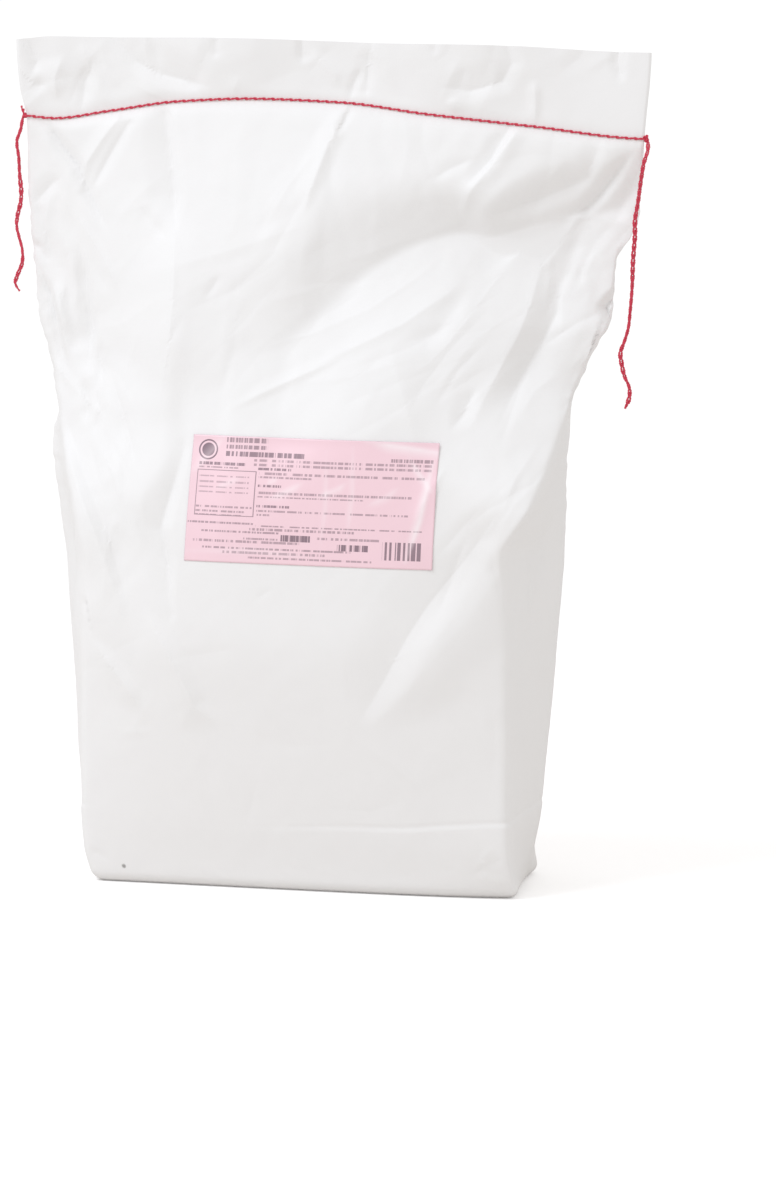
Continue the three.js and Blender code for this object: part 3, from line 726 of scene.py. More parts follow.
@dataclass(frozen=True)
class SackForm:
    """The shape of the filled sack's paper, as points worked out from heights and places round it.

    Attributes:
        corner_radius: rounding of the panel and gusset creases.
        corner_share: most of an edge that the rounding may take.
        belly_low, belly_high: how boxy the panels are low down and near the mouth.
        belly_from, belly_to: heights between which the one turns into the other.
        seam_slope_from: height where the sack's level lines start to follow the seam.
        seam_flat_band: the plies stay pressed together this far below the seam.
        wave_reach, wave_length, wave_phase, wave_below: slow sway of the plain paper over the seam.
        mouth_fade: the mouth's creases come in between these heights over the seam.
        mouth_edge_fade: they die out this near the side edges.
        floor_fade, plane_fade: folds die out this near the floor and the middle plane.
        seam_fade: folds die out between these depths under the seam.
        wing_heights: heights between which the gussets turn from side walls into flat wings.
        side_fade: heights between which the side walls' own folds die out.
        side_border: width of the front that joins in the side walls' folds.
        shoulder, shoulder_reach: how the paper swells under the seam, and the two depths where it does.
        shoulder_edge: the swell starts this far from the side edges, and is full after as much again.
        pinch, pinch_reach: how the thread draws the plies together.
        pucker, stitch: small pleats that each stitch draws, and their spacing.
        step, step_groove, step_ledge, step_run_out: the folded edge of the block bottom.
        step_places, step_least: where the step comes out across the front, and its share before that.
        step_back: its share on the back.
        foot_radius: rounding of the edge that the sack stands on.
        crinkle, crinkle_lengths: height and lengths of the crinkles of the gusset's edge.
        crinkle_from, crinkle_to: heights between which the crinkles come in, and between which they end.
        crinkle_least: their share elsewhere.
        crinkle_turn: how much the left edge's crinkles are out of step with the right edge's.
        least: the least half thickness, as a share of the pressed mouth's.
    """

    corner_radius: float = 7.0
    corner_share: float = 0.3
    belly_low: float = 2.8
    belly_high: float = 1.9
    belly_from: float = 290.0
    belly_to: float = 430.0
    seam_slope_from: float = 480.0
    seam_flat_band: float = 9.0
    wave_reach: float = 5.0
    wave_length: float = 210.0
    wave_phase: float = 0.9
    wave_below: float = 20.0
    mouth_fade: tuple[float, float] = (1.0, 12.0)
    mouth_edge_fade: float = 18.0
    floor_fade: float = 40.0
    plane_fade: float = 26.0
    seam_fade: tuple[float, float] = (-2.0, 14.0)
    wing_heights: tuple[float, float] = (290.0, 400.0)
    side_fade: tuple[float, float] = (310.0, 350.0)
    side_border: tuple[float, float] = (22.0, 4.0)
    shoulder: float = 1.8
    shoulder_reach: tuple[float, float] = (12.0, 70.0)
    shoulder_edge: float = 16.0
    pinch: float = 0.9
    pinch_reach: float = 5.0
    pucker: float = 0.3
    stitch: float = 7.8
    step: float = 0.65
    step_groove: float = 0.4
    step_ledge: float = 3.0
    step_run_out: float = 45.0
    step_places: tuple[float, float] = (-60.0, 110.0)
    step_least: float = 0.05
    step_back: float = 0.6
    foot_radius: float = 10.0
    crinkle: float = 0.55
    crinkle_lengths: tuple[float, ...] = (61.0, 27.0, 17.0, 11.3)
    crinkle_from: tuple[float, float] = (280.0, 380.0)
    crinkle_to: tuple[float, float] = (560.0, 640.0)
    crinkle_least: float = 0.1
    crinkle_turn: float = 2.1
    least: float = 0.4

    def corners(self, height: Array) -> list[Array]:
        """The section's six corners at each height, from the front left round, as (n, 2) arrays."""
        found = {}
        for sign, profile in ((-1, LEFT), (1, RIGHT)):
            crease = sign * (HALF_PANEL + curve_at(profile.crease, height))
            depth = curve_at(profile.crease_depth, height)
            gusset = sign * (HALF_PANEL + curve_at(profile.gusset, height))
            found[sign] = [np.stack([x, y], -1)
                           for x, y in ((crease, -depth), (gusset, 0 * depth), (crease, depth))]
        (left_front, left_edge, left_back), (right_front, right_edge, right_back) = found[-1], found[1]
        return [left_front, right_front, right_edge, right_back, left_back, left_edge]

    def edge_point(self, corners: list[Array], edge: int, t: Array | float, height: Array) -> Array:
        """Points along one edge of the sections, with the belly of the front and back panels."""
        start, end = corners[edge], corners[(edge + 1) % 6]
        t = np.broadcast_to(np.asarray(t, float), height.shape)
        point = start + (end - start) * t[:, None]
        if edge in (0, 3):
            sign, belly = (-1, FRONT_BELLY) if edge == 0 else (1, BACK_BELLY)
            rounder = ease(self.belly_from, self.belly_to, height)
            crown = 1 - np.abs(2 * t - 1) ** (self.belly_low + (self.belly_high - self.belly_low) * rounder)
            middle = sign * (HALF_DEPTH + curve_at(belly, height))
            point[:, 1] += (middle - point[:, 1]) * crown
        return point

    def section(self, corners: list[Array], edge: int, t: float, height: Array) -> Array:
        """Points of the sections with their corners rounded, t running from 0 to 1 along an edge."""

        def share_of(k: int) -> Array:
            length = np.hypot(*(corners[(k + 1) % 6] - corners[k]).T)
            return np.minimum(self.corner_share, self.corner_radius / length)

        def bend(a: Array, corner: Array, b: Array, u: Array) -> Array:
            u = u[:, None]
            return a * (1 - u) ** 2 + corner * 2 * u * (1 - u) + b * u * u

        share = share_of(edge)
        before, after = (edge + 5) % 6, (edge + 1) % 6
        straight = self.edge_point(corners, edge, t, height)
        leaving = bend(
            self.edge_point(corners, before, 1 - share_of(before), height), corners[edge],
            self.edge_point(corners, edge, share, height), 0.5 + 0.5 * t / share,
        )
        arriving = bend(
            self.edge_point(corners, edge, 1 - share, height), corners[after],
            self.edge_point(corners, after, share_of(after), height), 0.5 * (t - 1 + share) / share,
        )
        rounded = np.where((t < share)[:, None], leaving, straight)
        return np.where((t > 1 - share)[:, None], arriving, rounded)

    def edge_crinkle(self, x: Array, z: Array) -> Array:
        """How far the gusset's edge stands out or in where handling has crinkled it."""
        phase = np.where(x > 0, 0.0, self.crinkle_turn)
        waves = sum(np.sin(2 * np.pi * z / length + phase * k) / k**0.5
                    for k, length in enumerate(self.crinkle_lengths, start=1))
        rough = np.maximum(ease(*self.crinkle_from, z) * (1 - ease(*self.crinkle_to, z)), self.crinkle_least)
        return self.crinkle * waves * rough * ease(0, self.floor_fade, z)

    def mouth_sway(self, x: Array, z: Array) -> Array:
        """How far the two pressed plies sway to the back."""
        seam = curve_at(SEAM_LINE, x)
        free = ease(0, 1, (z - seam + self.wave_below) / (SACK_HEIGHT - seam + self.wave_below))
        wave = self.wave_reach * np.sin(2 * np.pi * x / self.wave_length + self.wave_phase)
        creased = relief_of(MOUTH_FORMS, x, z) + MOUTH_CRUMPLE.relief(x, z)
        inside_edge = ease(0, self.mouth_edge_fade, HALF_FLAT - np.abs(x))
        return wave * free - creased * ease(*self.mouth_fade, z - seam) * inside_edge

    def bottom_step(self, line: Stations, across: Array, up: Array) -> Array:
        """Relief of the block bottom's folded edge, a groove over a low step."""
        below = curve_at(line, across) - up
        # the groove lies half a ledge over the line, and is about as wide
        out = ease(0, self.step_ledge, below) - ease(self.step_ledge, self.step_run_out, below)
        groove = np.exp(-((below / self.step_ledge + 0.5) ** 2) * 4)
        return self.step * out - self.step_groove * groove

    def skin(self, places: Sequence[tuple[int, float]], heights: Array) -> Array:
        """Points of the paper's outside.

        Args:
            places: (edge, share along it) of each column.
            heights: nominal height of each row.

        Returns:
            An array of rows by columns by x, y, z, in millimetres.
        """
        corners = self.corners(heights)
        flat = np.stack([self.section(corners, edge, t, heights) for edge, t in places], 1)
        x, y = flat[..., 0], flat[..., 1]
        height = heights[:, None]
        seam, top = curve_at(SEAM_LINE, x), curve_at(TOP_EDGE, x)
        to_seam, to_top = seam - SEAM_HEIGHT, top - SACK_HEIGHT
        over_seam = np.clip((height - SEAM_HEIGHT) / (SACK_HEIGHT - SEAM_HEIGHT), 0, 1)
        z = (height + to_seam * ease(self.seam_slope_from, SEAM_HEIGHT - self.seam_flat_band, height)
             + (to_top - to_seam) * over_seam)
        below = seam - z
        thin = np.abs(y)
        foot = ease(0, self.floor_fade, z)
        is_side = np.array([edge % 3 != 0 for edge, _ in places])[None, :]

        # a panel's folds reach onto the side walls only at the crease, but run right across the flat wings
        crease = np.where(x > 0, curve_at(RIGHT.crease_depth, height), curve_at(LEFT.crease_depth, height))
        at_crease = np.clip(thin / crease, 0, 1) ** 2
        hold = np.where(is_side, at_crease + (1 - at_crease) * ease(*self.wing_heights, height), 1)
        fade = hold * ease(*self.seam_fade, below)
        front = (relief_of(FRONT_FORMS, x, z) + FRONT_CRUMPLE.relief(x, z)) * fade * foot
        back = (relief_of(BACK_FOLDS, x, z) + BACK_CRUMPLE.relief(x, z)) * fade * foot
        thick = ease(0, self.plane_fade, thin)
        shown = self.step_least + (1 - self.step_least) * ease(*self.step_places, x)
        step = self.bottom_step(BOTTOM_STEP_FRONT, x, z) * np.where(y < 0, shown, self.step_back)
        inside_edge = ease(0, self.shoulder_edge, HALF_FLAT - self.shoulder_edge - np.abs(x))
        puff = self.shoulder * inside_edge * (
            ease(0, self.shoulder_reach[0], below) - ease(*self.shoulder_reach, below))
        at_seam = np.exp(-((below / self.pinch_reach) ** 2))
        pleats = self.pucker * np.cos(2 * np.pi * x / self.stitch)
        turn_under = self.foot_radius - np.sqrt(
            self.foot_radius**2 - np.clip(self.foot_radius - height, 0, self.foot_radius) ** 2)
        own = np.where(y < 0, front, back) * thick + step * hold + puff - (self.pinch + pleats) * at_seam
        least = np.minimum(thin, self.least * MOUTH_HALF_THICKNESS)
        depth = np.maximum(thin * (1 - turn_under / HALF_DEPTH) + own, least)

        side_forms = np.where(x > 0, relief_of(RIGHT_FOLDS, y, z), relief_of(LEFT_FOLDS, y, z))
        side_forms = (side_forms + SIDE_CRUMPLE.relief(y, z + SACK_HEIGHT * (x > 0))) * foot
        side_forms += self.bottom_step(BOTTOM_STEP_SIDES, y, z)
        border = ease(*(HALF_PANEL - width for width in self.side_border), np.abs(x))
        side_forms *= np.where(is_side, 1, border) * (1 - ease(*self.side_fade, z))
        at_edge = np.where(is_side, (1 - at_crease) ** 3, 0)
        outwards = side_forms + self.edge_crinkle(x, z) * at_edge
        out_x = x * (1 - turn_under / HALF_PANEL) + np.sign(x) * outwards
        out_y = np.sign(y) * depth - front * (1 - thick) + self.mouth_sway(x, z)
        return np.stack([out_x, out_y, z], -1)


# ---------------------------------------------------------------------------------------------
# The label's print, in millimetres from its left and top edges
# ---------------------------------------------------------------------------------------------

# Bars in the place of lines of type, as top, bottom, left, right and how dark. Those of one column never
# lie beside each other.
PRINTED_COLUMNS = [
    [(1, 5, 30, 66, 0.75), (7, 10.5, 30, 66, 0.75), (12.5, 16.6, 30, 98, 0.85), (18.4, 20.2, 55, 205, 0.6),
     (22, 23.8, 55, 205, 0.6), (25.4, 27.4, 59, 88, 0.85), (29, 30.8, 60, 200, 0.6), (32.4, 34, 60, 106, 0.6),
     (39, 41.2, 60, 80, 0.85), (45, 46.8, 60, 190, 0.6), (48.4, 50, 60, 150, 0.6), (56, 58.2, 60, 88, 0.85),
     (60, 61.8, 60, 188, 0.6), (63.4, 65, 60, 72, 0.6)],
    [(14, 17, 171, 206, 0.7), (72.6, 74.2, 60, 200, 0.65), (75.4, 77.2, 55, 144, 0.65),
     (80, 85.4, 82, 107, 0.95), (86.2, 91.6, 130, 156, 0.95)],
    [(22, 24.2, 7, 48, 0.85), (25.6, 27, 7, 42, 0.6), (33, 34.4, 8, 52, 0.45), (37.6, 39, 8, 52, 0.45),
     (42, 43.4, 8, 52, 0.45), (46, 47.4, 8, 52, 0.45), (58, 59.6, 7, 56, 0.6), (61.8, 63.2, 7, 50, 0.6),
     (65, 66.4, 7, 48, 0.6), (71, 72.6, 1, 58, 0.65), (78, 79.8, 13, 80, 0.65), (86, 88, 6, 98, 0.6),
     (91.8, 93.4, 15, 142, 0.65), (95, 96.8, 33, 120, 0.6), (99, 100.8, 55, 160, 0.6)],
    [(81, 83, 113, 165, 0.6), (83.4, 85, 50, 80, 0.6)],
]
# A frame as left, right, top and bottom of its outside and its inside, and how dark.
PRINTED_FRAME = ((6.0, 58.0, 28.5, 66.5), (6.7, 57.1, 29.2, 65.8), 0.75)
# A disc in a ring: their middle, and the outer radius and the line of each.
PRINTED_DISC = (14.0, 12.0)
PRINTED_RINGS = ((8.5, 1.3), (5.6, 5.6))
# A block of upright stripes, as left, right, top and bottom, how wide, how rare and how dark they are.
STRIPE_BLOCK = (168.0, 200.0, 83.0, 98.0)
STRIPE_WIDTH, STRIPE_GAPS, STRIPE_TONE = 0.95, 0.42, 0.9
# Painted highlight on the label: streaks along creases in its coating, painted paler as if they caught the
# light, which also raise the sheet a little; places from its lower left corner.
PAINTED_GLARE_STREAKS = [
    Fold([(206, 88), (198, 40), (188, 6)], 1.0, 4, 7, start=0.4, finish=0.3),
    Fold([(150, 104), (178, 101), (209, 97)], 0.9, 4, 9, start=0.2, finish=0.8),
    Fold([(186, 92), (196, 78), (206, 66)], 0.7, 3, 6, start=0.3, finish=0.6),
    Fold([(139, 100), (141, 60), (138, 20)], 0.35, 3, 5, start=0.3, finish=0.2),
    Fold([(117, 96), (119, 50), (116, 12)], 0.3, 3, 4, start=0.2, finish=0.2),
    Fold([(66, 52), (84, 60), (102, 70)], 0.55, 5, 6),
    Fold([(66, 66), (78, 71)], 0.5, 4, 4),
    Fold([(108, 56), (128, 64), (138, 72)], 0.5, 4, 6),
    Fold([(150, 50), (168, 58), (182, 70)], 0.4, 4, 6),
    Fold([(4, 76), (14, 88), (26, 102)], 0.5, 8, 5, start=0.6, finish=0.5),
    Fold([(20, 60), (34, 66), (48, 72)], 0.4, 4, 6),
    Fold([(2, 8), (60, 10), (120, 6)], 0.3, 5, 4, start=0.5),
]

# ---------------------------------------------------------------------------------------------
# Finishes
# ---------------------------------------------------------------------------------------------


@dataclass(frozen=True)
class BleachedKraftPaper:
    """Bleached kraft paper, machine-glazed: matt white with a faint sheen, fine fibres and crinkles.

    Attributes:
        colour: the clean sheet.
        cloud: the sheet where its fibres lie a little thinner.
        fibre_mm: width of the fibre grain, drawn coarser than real so that it shows.
        fibre_depth, fibre_strength: height of the grain, and how strongly it shows.
        grain_detail: octaves of the grain and the clouds.
        crease_mm: reach of the sharp edge of a crease, to each side.
        crest: height that the sharp edge of a crease adds.
        cloud_mm: size of the clouds in the sheet.
        dirt: colour of the dirt.
        spots: place across and up, size and strength of each spot of dirt on the front, in millimetres.
        spot_depth: share of the depth that counts in the distance from a spot, so that only the front has it.
        spot_blur, spot_ragged_mm: width of a spot's soft edge as a share of its size, and of its waves.
    """

    colour: str = "EEEEEE"
    cloud: str = "ECECEC"
    fibre_mm: float = 1.3
    fibre_depth: float = 0.12
    fibre_strength: float = 0.12
    grain_detail: float = 3.0
    crease_mm: float = 4.5
    crest: float = 0.32
    cloud_mm: float = 38.0
    dirt: str = "6E6A68"
    spots: tuple[tuple[float, float, float, float], ...] = ((-148, 14.5, 2.2, 0.75), (-80, 617, 1.8, 0.25))
    spot_depth: float = 0.05
    spot_blur: float = 0.6
    spot_ragged_mm: float = 3.0

    def build(self) -> bpy.types.Material:
        """Make the material."""
        material, tree = new_material("bleached_kraft_paper")
        place = add_node(tree, "TexCoord").outputs["Object"]

        def grain(size_mm: float) -> bpy.types.NodeSocket:
            return add_node(tree, "TexNoise", inputs={
                "Scale": 1 / (size_mm * MM), "Detail": self.grain_detail, "Vector": place}).outputs["Fac"]

        tone = add_mix(tree, grain(self.cloud_mm), linear(self.colour), linear(self.cloud))
        flat = add_node(tree, "VectorMath", {"operation": "MULTIPLY"}, {
            0: place, 1: (1, self.spot_depth, 1)}).outputs[0]
        ragged = add_node(tree, "TexNoise", inputs={
            "Scale": 1 / (self.spot_ragged_mm * MM), "Vector": place}).outputs["Fac"]
        for across, up, size, strength in self.spots:
            away = add_node(tree, "VectorMath", {"operation": "DISTANCE"}, {
                0: flat, 1: (across * MM, -HALF_DEPTH * self.spot_depth * MM, up * MM)}).outputs["Value"]
            edge = add_math(tree, "MULTIPLY_ADD", ragged, -size * MM, away)
            spot = add_range(tree, edge, (0.0, self.spot_blur * size * MM), (strength, 0.0))
            tone = add_mix(tree, spot, tone, linear(self.dirt))
        crease = add_node(tree, "Attribute", {"attribute_name": CREASE_ATTRIBUTE})
        distance, sharpness, _ = add_node(tree, "SeparateXYZ", inputs={0: crease.outputs["Vector"]}).outputs
        inside = add_range(tree, add_math(tree, "ABSOLUTE", distance), (0.0, self.crease_mm), (1.0, 0.0))
        normal = add_node(tree, "Bump", inputs={
            "Height": add_math(tree, "MULTIPLY", inside, sharpness), "Strength": 1.0,
            "Distance": self.crest * MM}).outputs["Normal"]
        fibres = add_node(tree, "Bump", inputs={
            "Height": grain(self.fibre_mm), "Strength": self.fibre_strength,
            "Distance": self.fibre_depth * MM, "Normal": normal})
        shader = add_node(tree, "BsdfPrincipled", inputs={
            "Base Color": tone, "Roughness": 0.55, "IOR": 1.46, "Normal": fibres.outputs["Normal"]})
        add_node(tree, "OutputMaterial", inputs={"Surface": shader.outputs["BSDF"]})
        return material


@dataclass(frozen=True)
class CoatedLabelPaper:
    """Coated label paper, pink, thermally printed: smooth, slightly glossy, with dull grey-plum print.

    The print is only bars in the places of lines of small type, a frame, a plain disc and a block of stripes.

    Attributes:
        colour: the sheet.
        painted_glare: painted highlight, the paler sheet painted along the coating's creases as if they
            caught the light.
        ink: the print.
        ink_share, ink_lost_to_glare: how much ink shows, and how much of that fades under the painted
            highlight.
        letter: width of a drawn letter in millimetres, coarser than real so that it shows.
        letter_edge: values of the noise between which a gap turns into a letter.
        line_seeds: turn a bar's two ends into a place in the noise of its own.
    """

    colour: str = "F3D3DC"
    painted_glare: str = "FAEEF2"
    ink: str = "64505F"
    ink_share: float = 0.85
    ink_lost_to_glare: float = 0.55
    letter: float = 1.7
    letter_edge: tuple[float, float] = (0.36, 0.5)
    line_seeds: tuple[float, float] = (91.0, 53.0)

    def build(self) -> bpy.types.Material:
        """Make the material."""
        material, tree = new_material("coated_label_paper")
        math_of = partial(add_math, tree)
        spread = add_node(tree, "SeparateXYZ", inputs={0: add_node(tree, "UVMap").outputs[0]}).outputs
        width, height = LABEL_SIZE
        x = math_of("MULTIPLY", spread[0], width)
        y = math_of("MULTIPLY_ADD", spread[1], -height, height)

        def within(value: bpy.types.NodeSocket, low: Any, high: Any) -> bpy.types.NodeSocket:
            return math_of("MULTIPLY", math_of("GREATER_THAN", value, low), math_of("LESS_THAN", value, high))

        def box(left: float, right: float, top: float, bottom: float) -> bpy.types.NodeSocket:
            return math_of("MULTIPLY", within(x, left, right), within(y, top, bottom))

        def column(lines: Sequence[tuple[float, float, float, float, float]]) -> bpy.types.NodeSocket:
            ramp = add_node(tree, "ValToRGB", inputs={0: math_of("DIVIDE", y, height)})
            ramp.color_ramp.interpolation = "CONSTANT"
            elements = ramp.color_ramp.elements
            elements.remove(elements[1])
            elements[0].color = (0, 0, 0, 1)
            for top, bottom, left, right, tone in lines:
                elements.new(top / height).color = (left / width, right / width, tone, 1)
                elements.new(bottom / height).color = (0, 0, 0, 1)
            left, right, tone = add_node(tree, "SeparateColor", inputs={0: ramp.outputs[0]}).outputs
            first, second = self.line_seeds
            seed = math_of("MULTIPLY_ADD", left, first, math_of("MULTIPLY", right, second))
            place = add_node(tree, "CombineXYZ", inputs={0: math_of("DIVIDE", x, self.letter), 1: seed})
            letters = add_node(tree, "TexNoise", {"noise_dimensions": "2D"}, {
                "Scale": 1.0, "Detail": 1.0, "Vector": place.outputs[0]}).outputs["Fac"]
            bar = math_of("MULTIPLY", within(spread[0], left, right), tone)
            return math_of("MULTIPLY", bar, add_range(tree, letters, self.letter_edge, (0.0, 1.0)))

        def ring(radius: float, line: float) -> bpy.types.NodeSocket:
            here = add_node(tree, "CombineXYZ", inputs={0: x, 1: y})
            away = add_node(tree, "VectorMath", {"operation": "DISTANCE"}, {
                0: here.outputs[0], 1: (*PRINTED_DISC, 0)})
            return within(away.outputs["Value"], radius - line, radius)

        stripe = add_node(tree, "TexWhiteNoise", {"noise_dimensions": "1D"}, {
            "W": math_of("FLOOR", math_of("DIVIDE", x, STRIPE_WIDTH))}).outputs["Value"]
        stripes = math_of("MULTIPLY", math_of("GREATER_THAN", stripe, STRIPE_GAPS), box(*STRIPE_BLOCK))
        outside, inside, frame_tone = PRINTED_FRAME
        marks = [math_of("MULTIPLY", stripes, STRIPE_TONE),
                 math_of("MULTIPLY", math_of("SUBTRACT", box(*outside), box(*inside)), frame_tone)]
        marks += [ring(*each) for each in PRINTED_RINGS]
        marks += [column(lines) for lines in PRINTED_COLUMNS]
        print_mask = reduce(partial(math_of, "MAXIMUM"), marks)
        # Painted highlight: the sheet is painted paler along the glare streaks, and the print fades there.
        painted_glare_share = add_node(tree, "Attribute", {"attribute_name": PAINTED_GLARE_ATTRIBUTE}).outputs["Fac"]
        sheet = add_mix(tree, painted_glare_share, linear(self.colour), linear(self.painted_glare))
        kept = math_of("MULTIPLY_ADD", painted_glare_share, -self.ink_lost_to_glare, self.ink_share)
        tone = add_mix(tree, math_of("MULTIPLY", print_mask, kept), sheet, linear(self.ink))
        shader = add_node(tree, "BsdfPrincipled", inputs={"Base Color": tone, "Roughness": 0.32, "IOR": 1.5})
        add_node(tree, "OutputMaterial", inputs={"Surface": shader.outputs["BSDF"]})
        return material


@dataclass(frozen=True)
class TwistedPolyesterThread:
    """Polyester sewing thread, twisted from two plies: crimson, with a soft silky light along each ply.

    Attributes:
        colour, shade: the fibres, and where they lie deeper.
        fibre_mm: size of the mottling, drawn coarser than real so that it shows.
    """

    colour: str = "DE3852"
    shade: str = "B82442"
    fibre_mm: float = 0.5

    def build(self) -> bpy.types.Material:
        """Make the material."""
        material, tree = new_material("twisted_polyester_thread")
        place = add_node(tree, "TexCoord").outputs["Object"]
        fibres = add_node(tree, "TexNoise", inputs={
            "Scale": 1 / (self.fibre_mm * MM), "Detail": 2.0, "Vector": place}).outputs["Fac"]
        bump = add_node(tree, "Bump", inputs={"Height": fibres, "Strength": 0.4, "Distance": 0.15 * MM})
        shader = add_node(tree, "BsdfPrincipled", inputs={
            "Base Color": add_mix(tree, fibres, linear(self.colour), linear(self.shade)), "Roughness": 0.5,
            "IOR": 1.5, "Sheen Weight": 0.2, "Normal": bump.outputs["Normal"]})
        add_node(tree, "OutputMaterial", inputs={"Surface": shader.outputs["BSDF"]})
        return material


# ---------------------------------------------------------------------------------------------
# The paper sack
# ---------------------------------------------------------------------------------------------


@dataclass
class PaperSack:
    """The sack's paper, one closed skin: bottom, sides, sewn band and the open lip over it.

    Attributes:
        form: the shape of the outside.
        front_cells, back_cells, gusset_cells: columns on a front panel, a back panel and half a gusset.
        row_gaps: height of a row, at each height of the sack.
        top_rows: how far under the top edge the rows end, and where one more lies.
        ply: thickness of one wall of the lip.
        pocket_floor: where the lip's pocket ends above the seam.
        opening: how far the two plies part at the top edge.
        opening_sway, opening_wave: share of that which comes and goes across, and over what distance.
        opening_edge: width beside the side edges where the plies come together.
        pocket_rows: the lip's inside takes one row for so many of the outside's.
        pocket_narrower: how much nearer the middle the pocket's sides are, in plies.
        shut_share: share of its thickness that the pocket keeps where it is shut.
        lip_over, lip_under: the lip's crest lies over the outside's edge, and its inner edge under it.
        bottom_rings: rings of the bottom, as shares of its outline.
        bottom_hollow: how far the middle of the bottom is off the floor.
        crease_reach: how far a sharp crease shows in the finish.
    """

    form: SackForm = field(default_factory=SackForm)
    front_cells: int = 200
    back_cells: int = 44
    gusset_cells: int = 14
    row_gaps: Stations = (
        (0, 0.5), (2, 1.0), (11, 2.8), (46, 2.8), (52, 1.4), (72, 1.5), (86, 2.9), (150, 2.8), (200, 2.4),
        (SACK_HEIGHT, 2.25))
    top_rows: tuple[float, float] = (4.0, 1.0)
    ply: float = 0.7
    pocket_floor: float = 7.0
    opening: float = 2.4
    opening_sway: float = 0.4
    opening_wave: float = 41.0
    opening_edge: float = 40.0
    pocket_rows: int = 3
    pocket_narrower: float = 4.0
    shut_share: float = 0.08
    lip_over: float = 0.25
    lip_under: float = 0.3
    bottom_rings: tuple[float, ...] = (0.55, 0.8, 0.93, 0.985)
    bottom_hollow: float = 0.5
    crease_reach: float = 5.0

    def columns(self) -> list[tuple[int, float]]:
        """Places round the sack: left gusset edge, front, right gusset edge, back."""

        def across(edge: int, cells: int) -> list[tuple[int, float]]:
            return [(edge, i / cells) for i in range(cells)]

        half = self.gusset_cells
        return (across(5, half) + across(0, self.front_cells) + across(1, half)
                + across(2, half) + across(3, self.back_cells) + across(4, half))

    def rows(self) -> Array:
        """Heights of the rows on the outside, finer at the foot, at the bottom's step and up the front."""
        heights = [0.0]
        while heights[-1] < SACK_HEIGHT - self.top_rows[0]:
            heights.append(heights[-1] + float(curve_at(self.row_gaps, heights[-1])))
        return np.array([*heights, SACK_HEIGHT - self.top_rows[1], SACK_HEIGHT])

    def points(self) -> Array:
        """All points of the skin, from the middle of the bottom, up the outside, into the lip's pocket."""
        heights = self.rows()
        outside = self.form.skin(self.columns(), heights)
        x, y, z = outside[..., 0], outside[..., 1], outside[..., 2]
        sway = self.form.mouth_sway(x, z)
        seam, top = curve_at(SEAM_LINE, x), curve_at(TOP_EDGE, x)
        rise = ease(0, 1, np.clip((z - seam - self.pocket_floor) / (top - seam - self.pocket_floor), 0, 1))
        gape = self.opening * (1 - self.opening_sway + self.opening_sway * np.sin(x / self.opening_wave))
        y += np.sign(y - sway) * gape * ease(0, self.opening_edge, HALF_FLAT - np.abs(x)) * rise
        pocket = np.flatnonzero(heights > SEAM_HEIGHT + self.pocket_floor)[:: -self.pocket_rows]
        inner, inner_sway = outside[pocket], sway[pocket]
        offset = inner[..., 1] - inner_sway
        open_share = self.shut_share + (1 - self.shut_share) * rise[pocket]
        inner[..., 1] = inner_sway + np.sign(offset) * np.maximum(np.abs(offset) - self.ply, 0.0) * open_share
        inner[..., 0] *= 1 - self.pocket_narrower * self.ply / HALF_FLAT
        lip = 0.5 * (inner[0] + outside[-1])
        lip[:, 2] += self.lip_over
        inner[0, :, 2] -= self.lip_under
        shares = np.array(self.bottom_rings)[:, None]
        bottom = np.repeat(outside[:1], len(shares), 0)
        bottom[..., :2] *= shares[..., None]
        bottom[..., 2] += self.bottom_hollow * ease(1, 0.9, shares)
        return np.concatenate([bottom, outside, lip[None], inner], 0)

    def creases(self, points: Array) -> Array:
        """What the paper's finish needs to know of the creases at each point.

        Args:
            points: the skin's points, in millimetres.

        Returns:
            Signed distance from the nearest sharp crease, how strong that crease is, and 0.
        """
        x, y, z = points[..., 0], points[..., 1], points[..., 2]
        over_seam = z > curve_at(SEAM_LINE, x)
        found = np.zeros(points.shape)
        for folds, where in (
            (FRONT_LINES, ~over_seam & (y < 0)), (BACK_FOLDS, ~over_seam & (y >= 0)), (MOUTH_FORMS, over_seam)
        ):
            found[where, 0], found[where, 1] = crest_lines(folds, x[where], z[where], self.crease_reach)
        return found

    def build(self, material: bpy.types.Material) -> tuple[bpy.types.Object, BVHTree]:
        """Make the skin.

        Args:
            material: the paper.

        Returns:
            The piece, and a tree to find points of its surface with.
        """
        points = self.points() * MM
        rows, columns = points.shape[:2]
        creases = self.creases(points / MM)
        lip = int(points[..., 2].max(1).argmax())
        grid = bmesh.new()
        bmesh.ops.create_grid(grid, x_segments=columns, y_segments=rows - 1, size=1)
        layer = grid.verts.layers.float_vector.new(CREASE_ATTRIBUTE)
        for vertex in grid.verts:
            column = round((vertex.co.x + 1) / 2 * columns) % columns
            row = round((vertex.co.y + 1) / 2 * (rows - 1))
            vertex.co = points[row, column]
            vertex[layer] = creases[row, column]
            vertex.tag = abs(row - lip) <= 1
        rim = [v for v in grid.verts if v.is_boundary]
        bmesh.ops.remove_doubles(grid, verts=rim, dist=1e-7)
        open_edges = [e for e in grid.edges if e.is_boundary]
        bmesh.ops.holes_fill(grid, edges=open_edges, sides=0)
        bmesh.ops.recalc_face_normals(grid, faces=grid.faces)
        for face in grid.faces:
            face.smooth = True
        for edge in grid.edges:
            edge.smooth = not (edge.verts[0].tag and edge.verts[1].tag)
        surface = BVHTree.FromBMesh(grid)
        mesh = mesh_of(grid, "sack_skin")
        return finish_piece("sack_paper", mesh, material, Node.SACK), surface


# ---------------------------------------------------------------------------------------------
# The label
# ---------------------------------------------------------------------------------------------


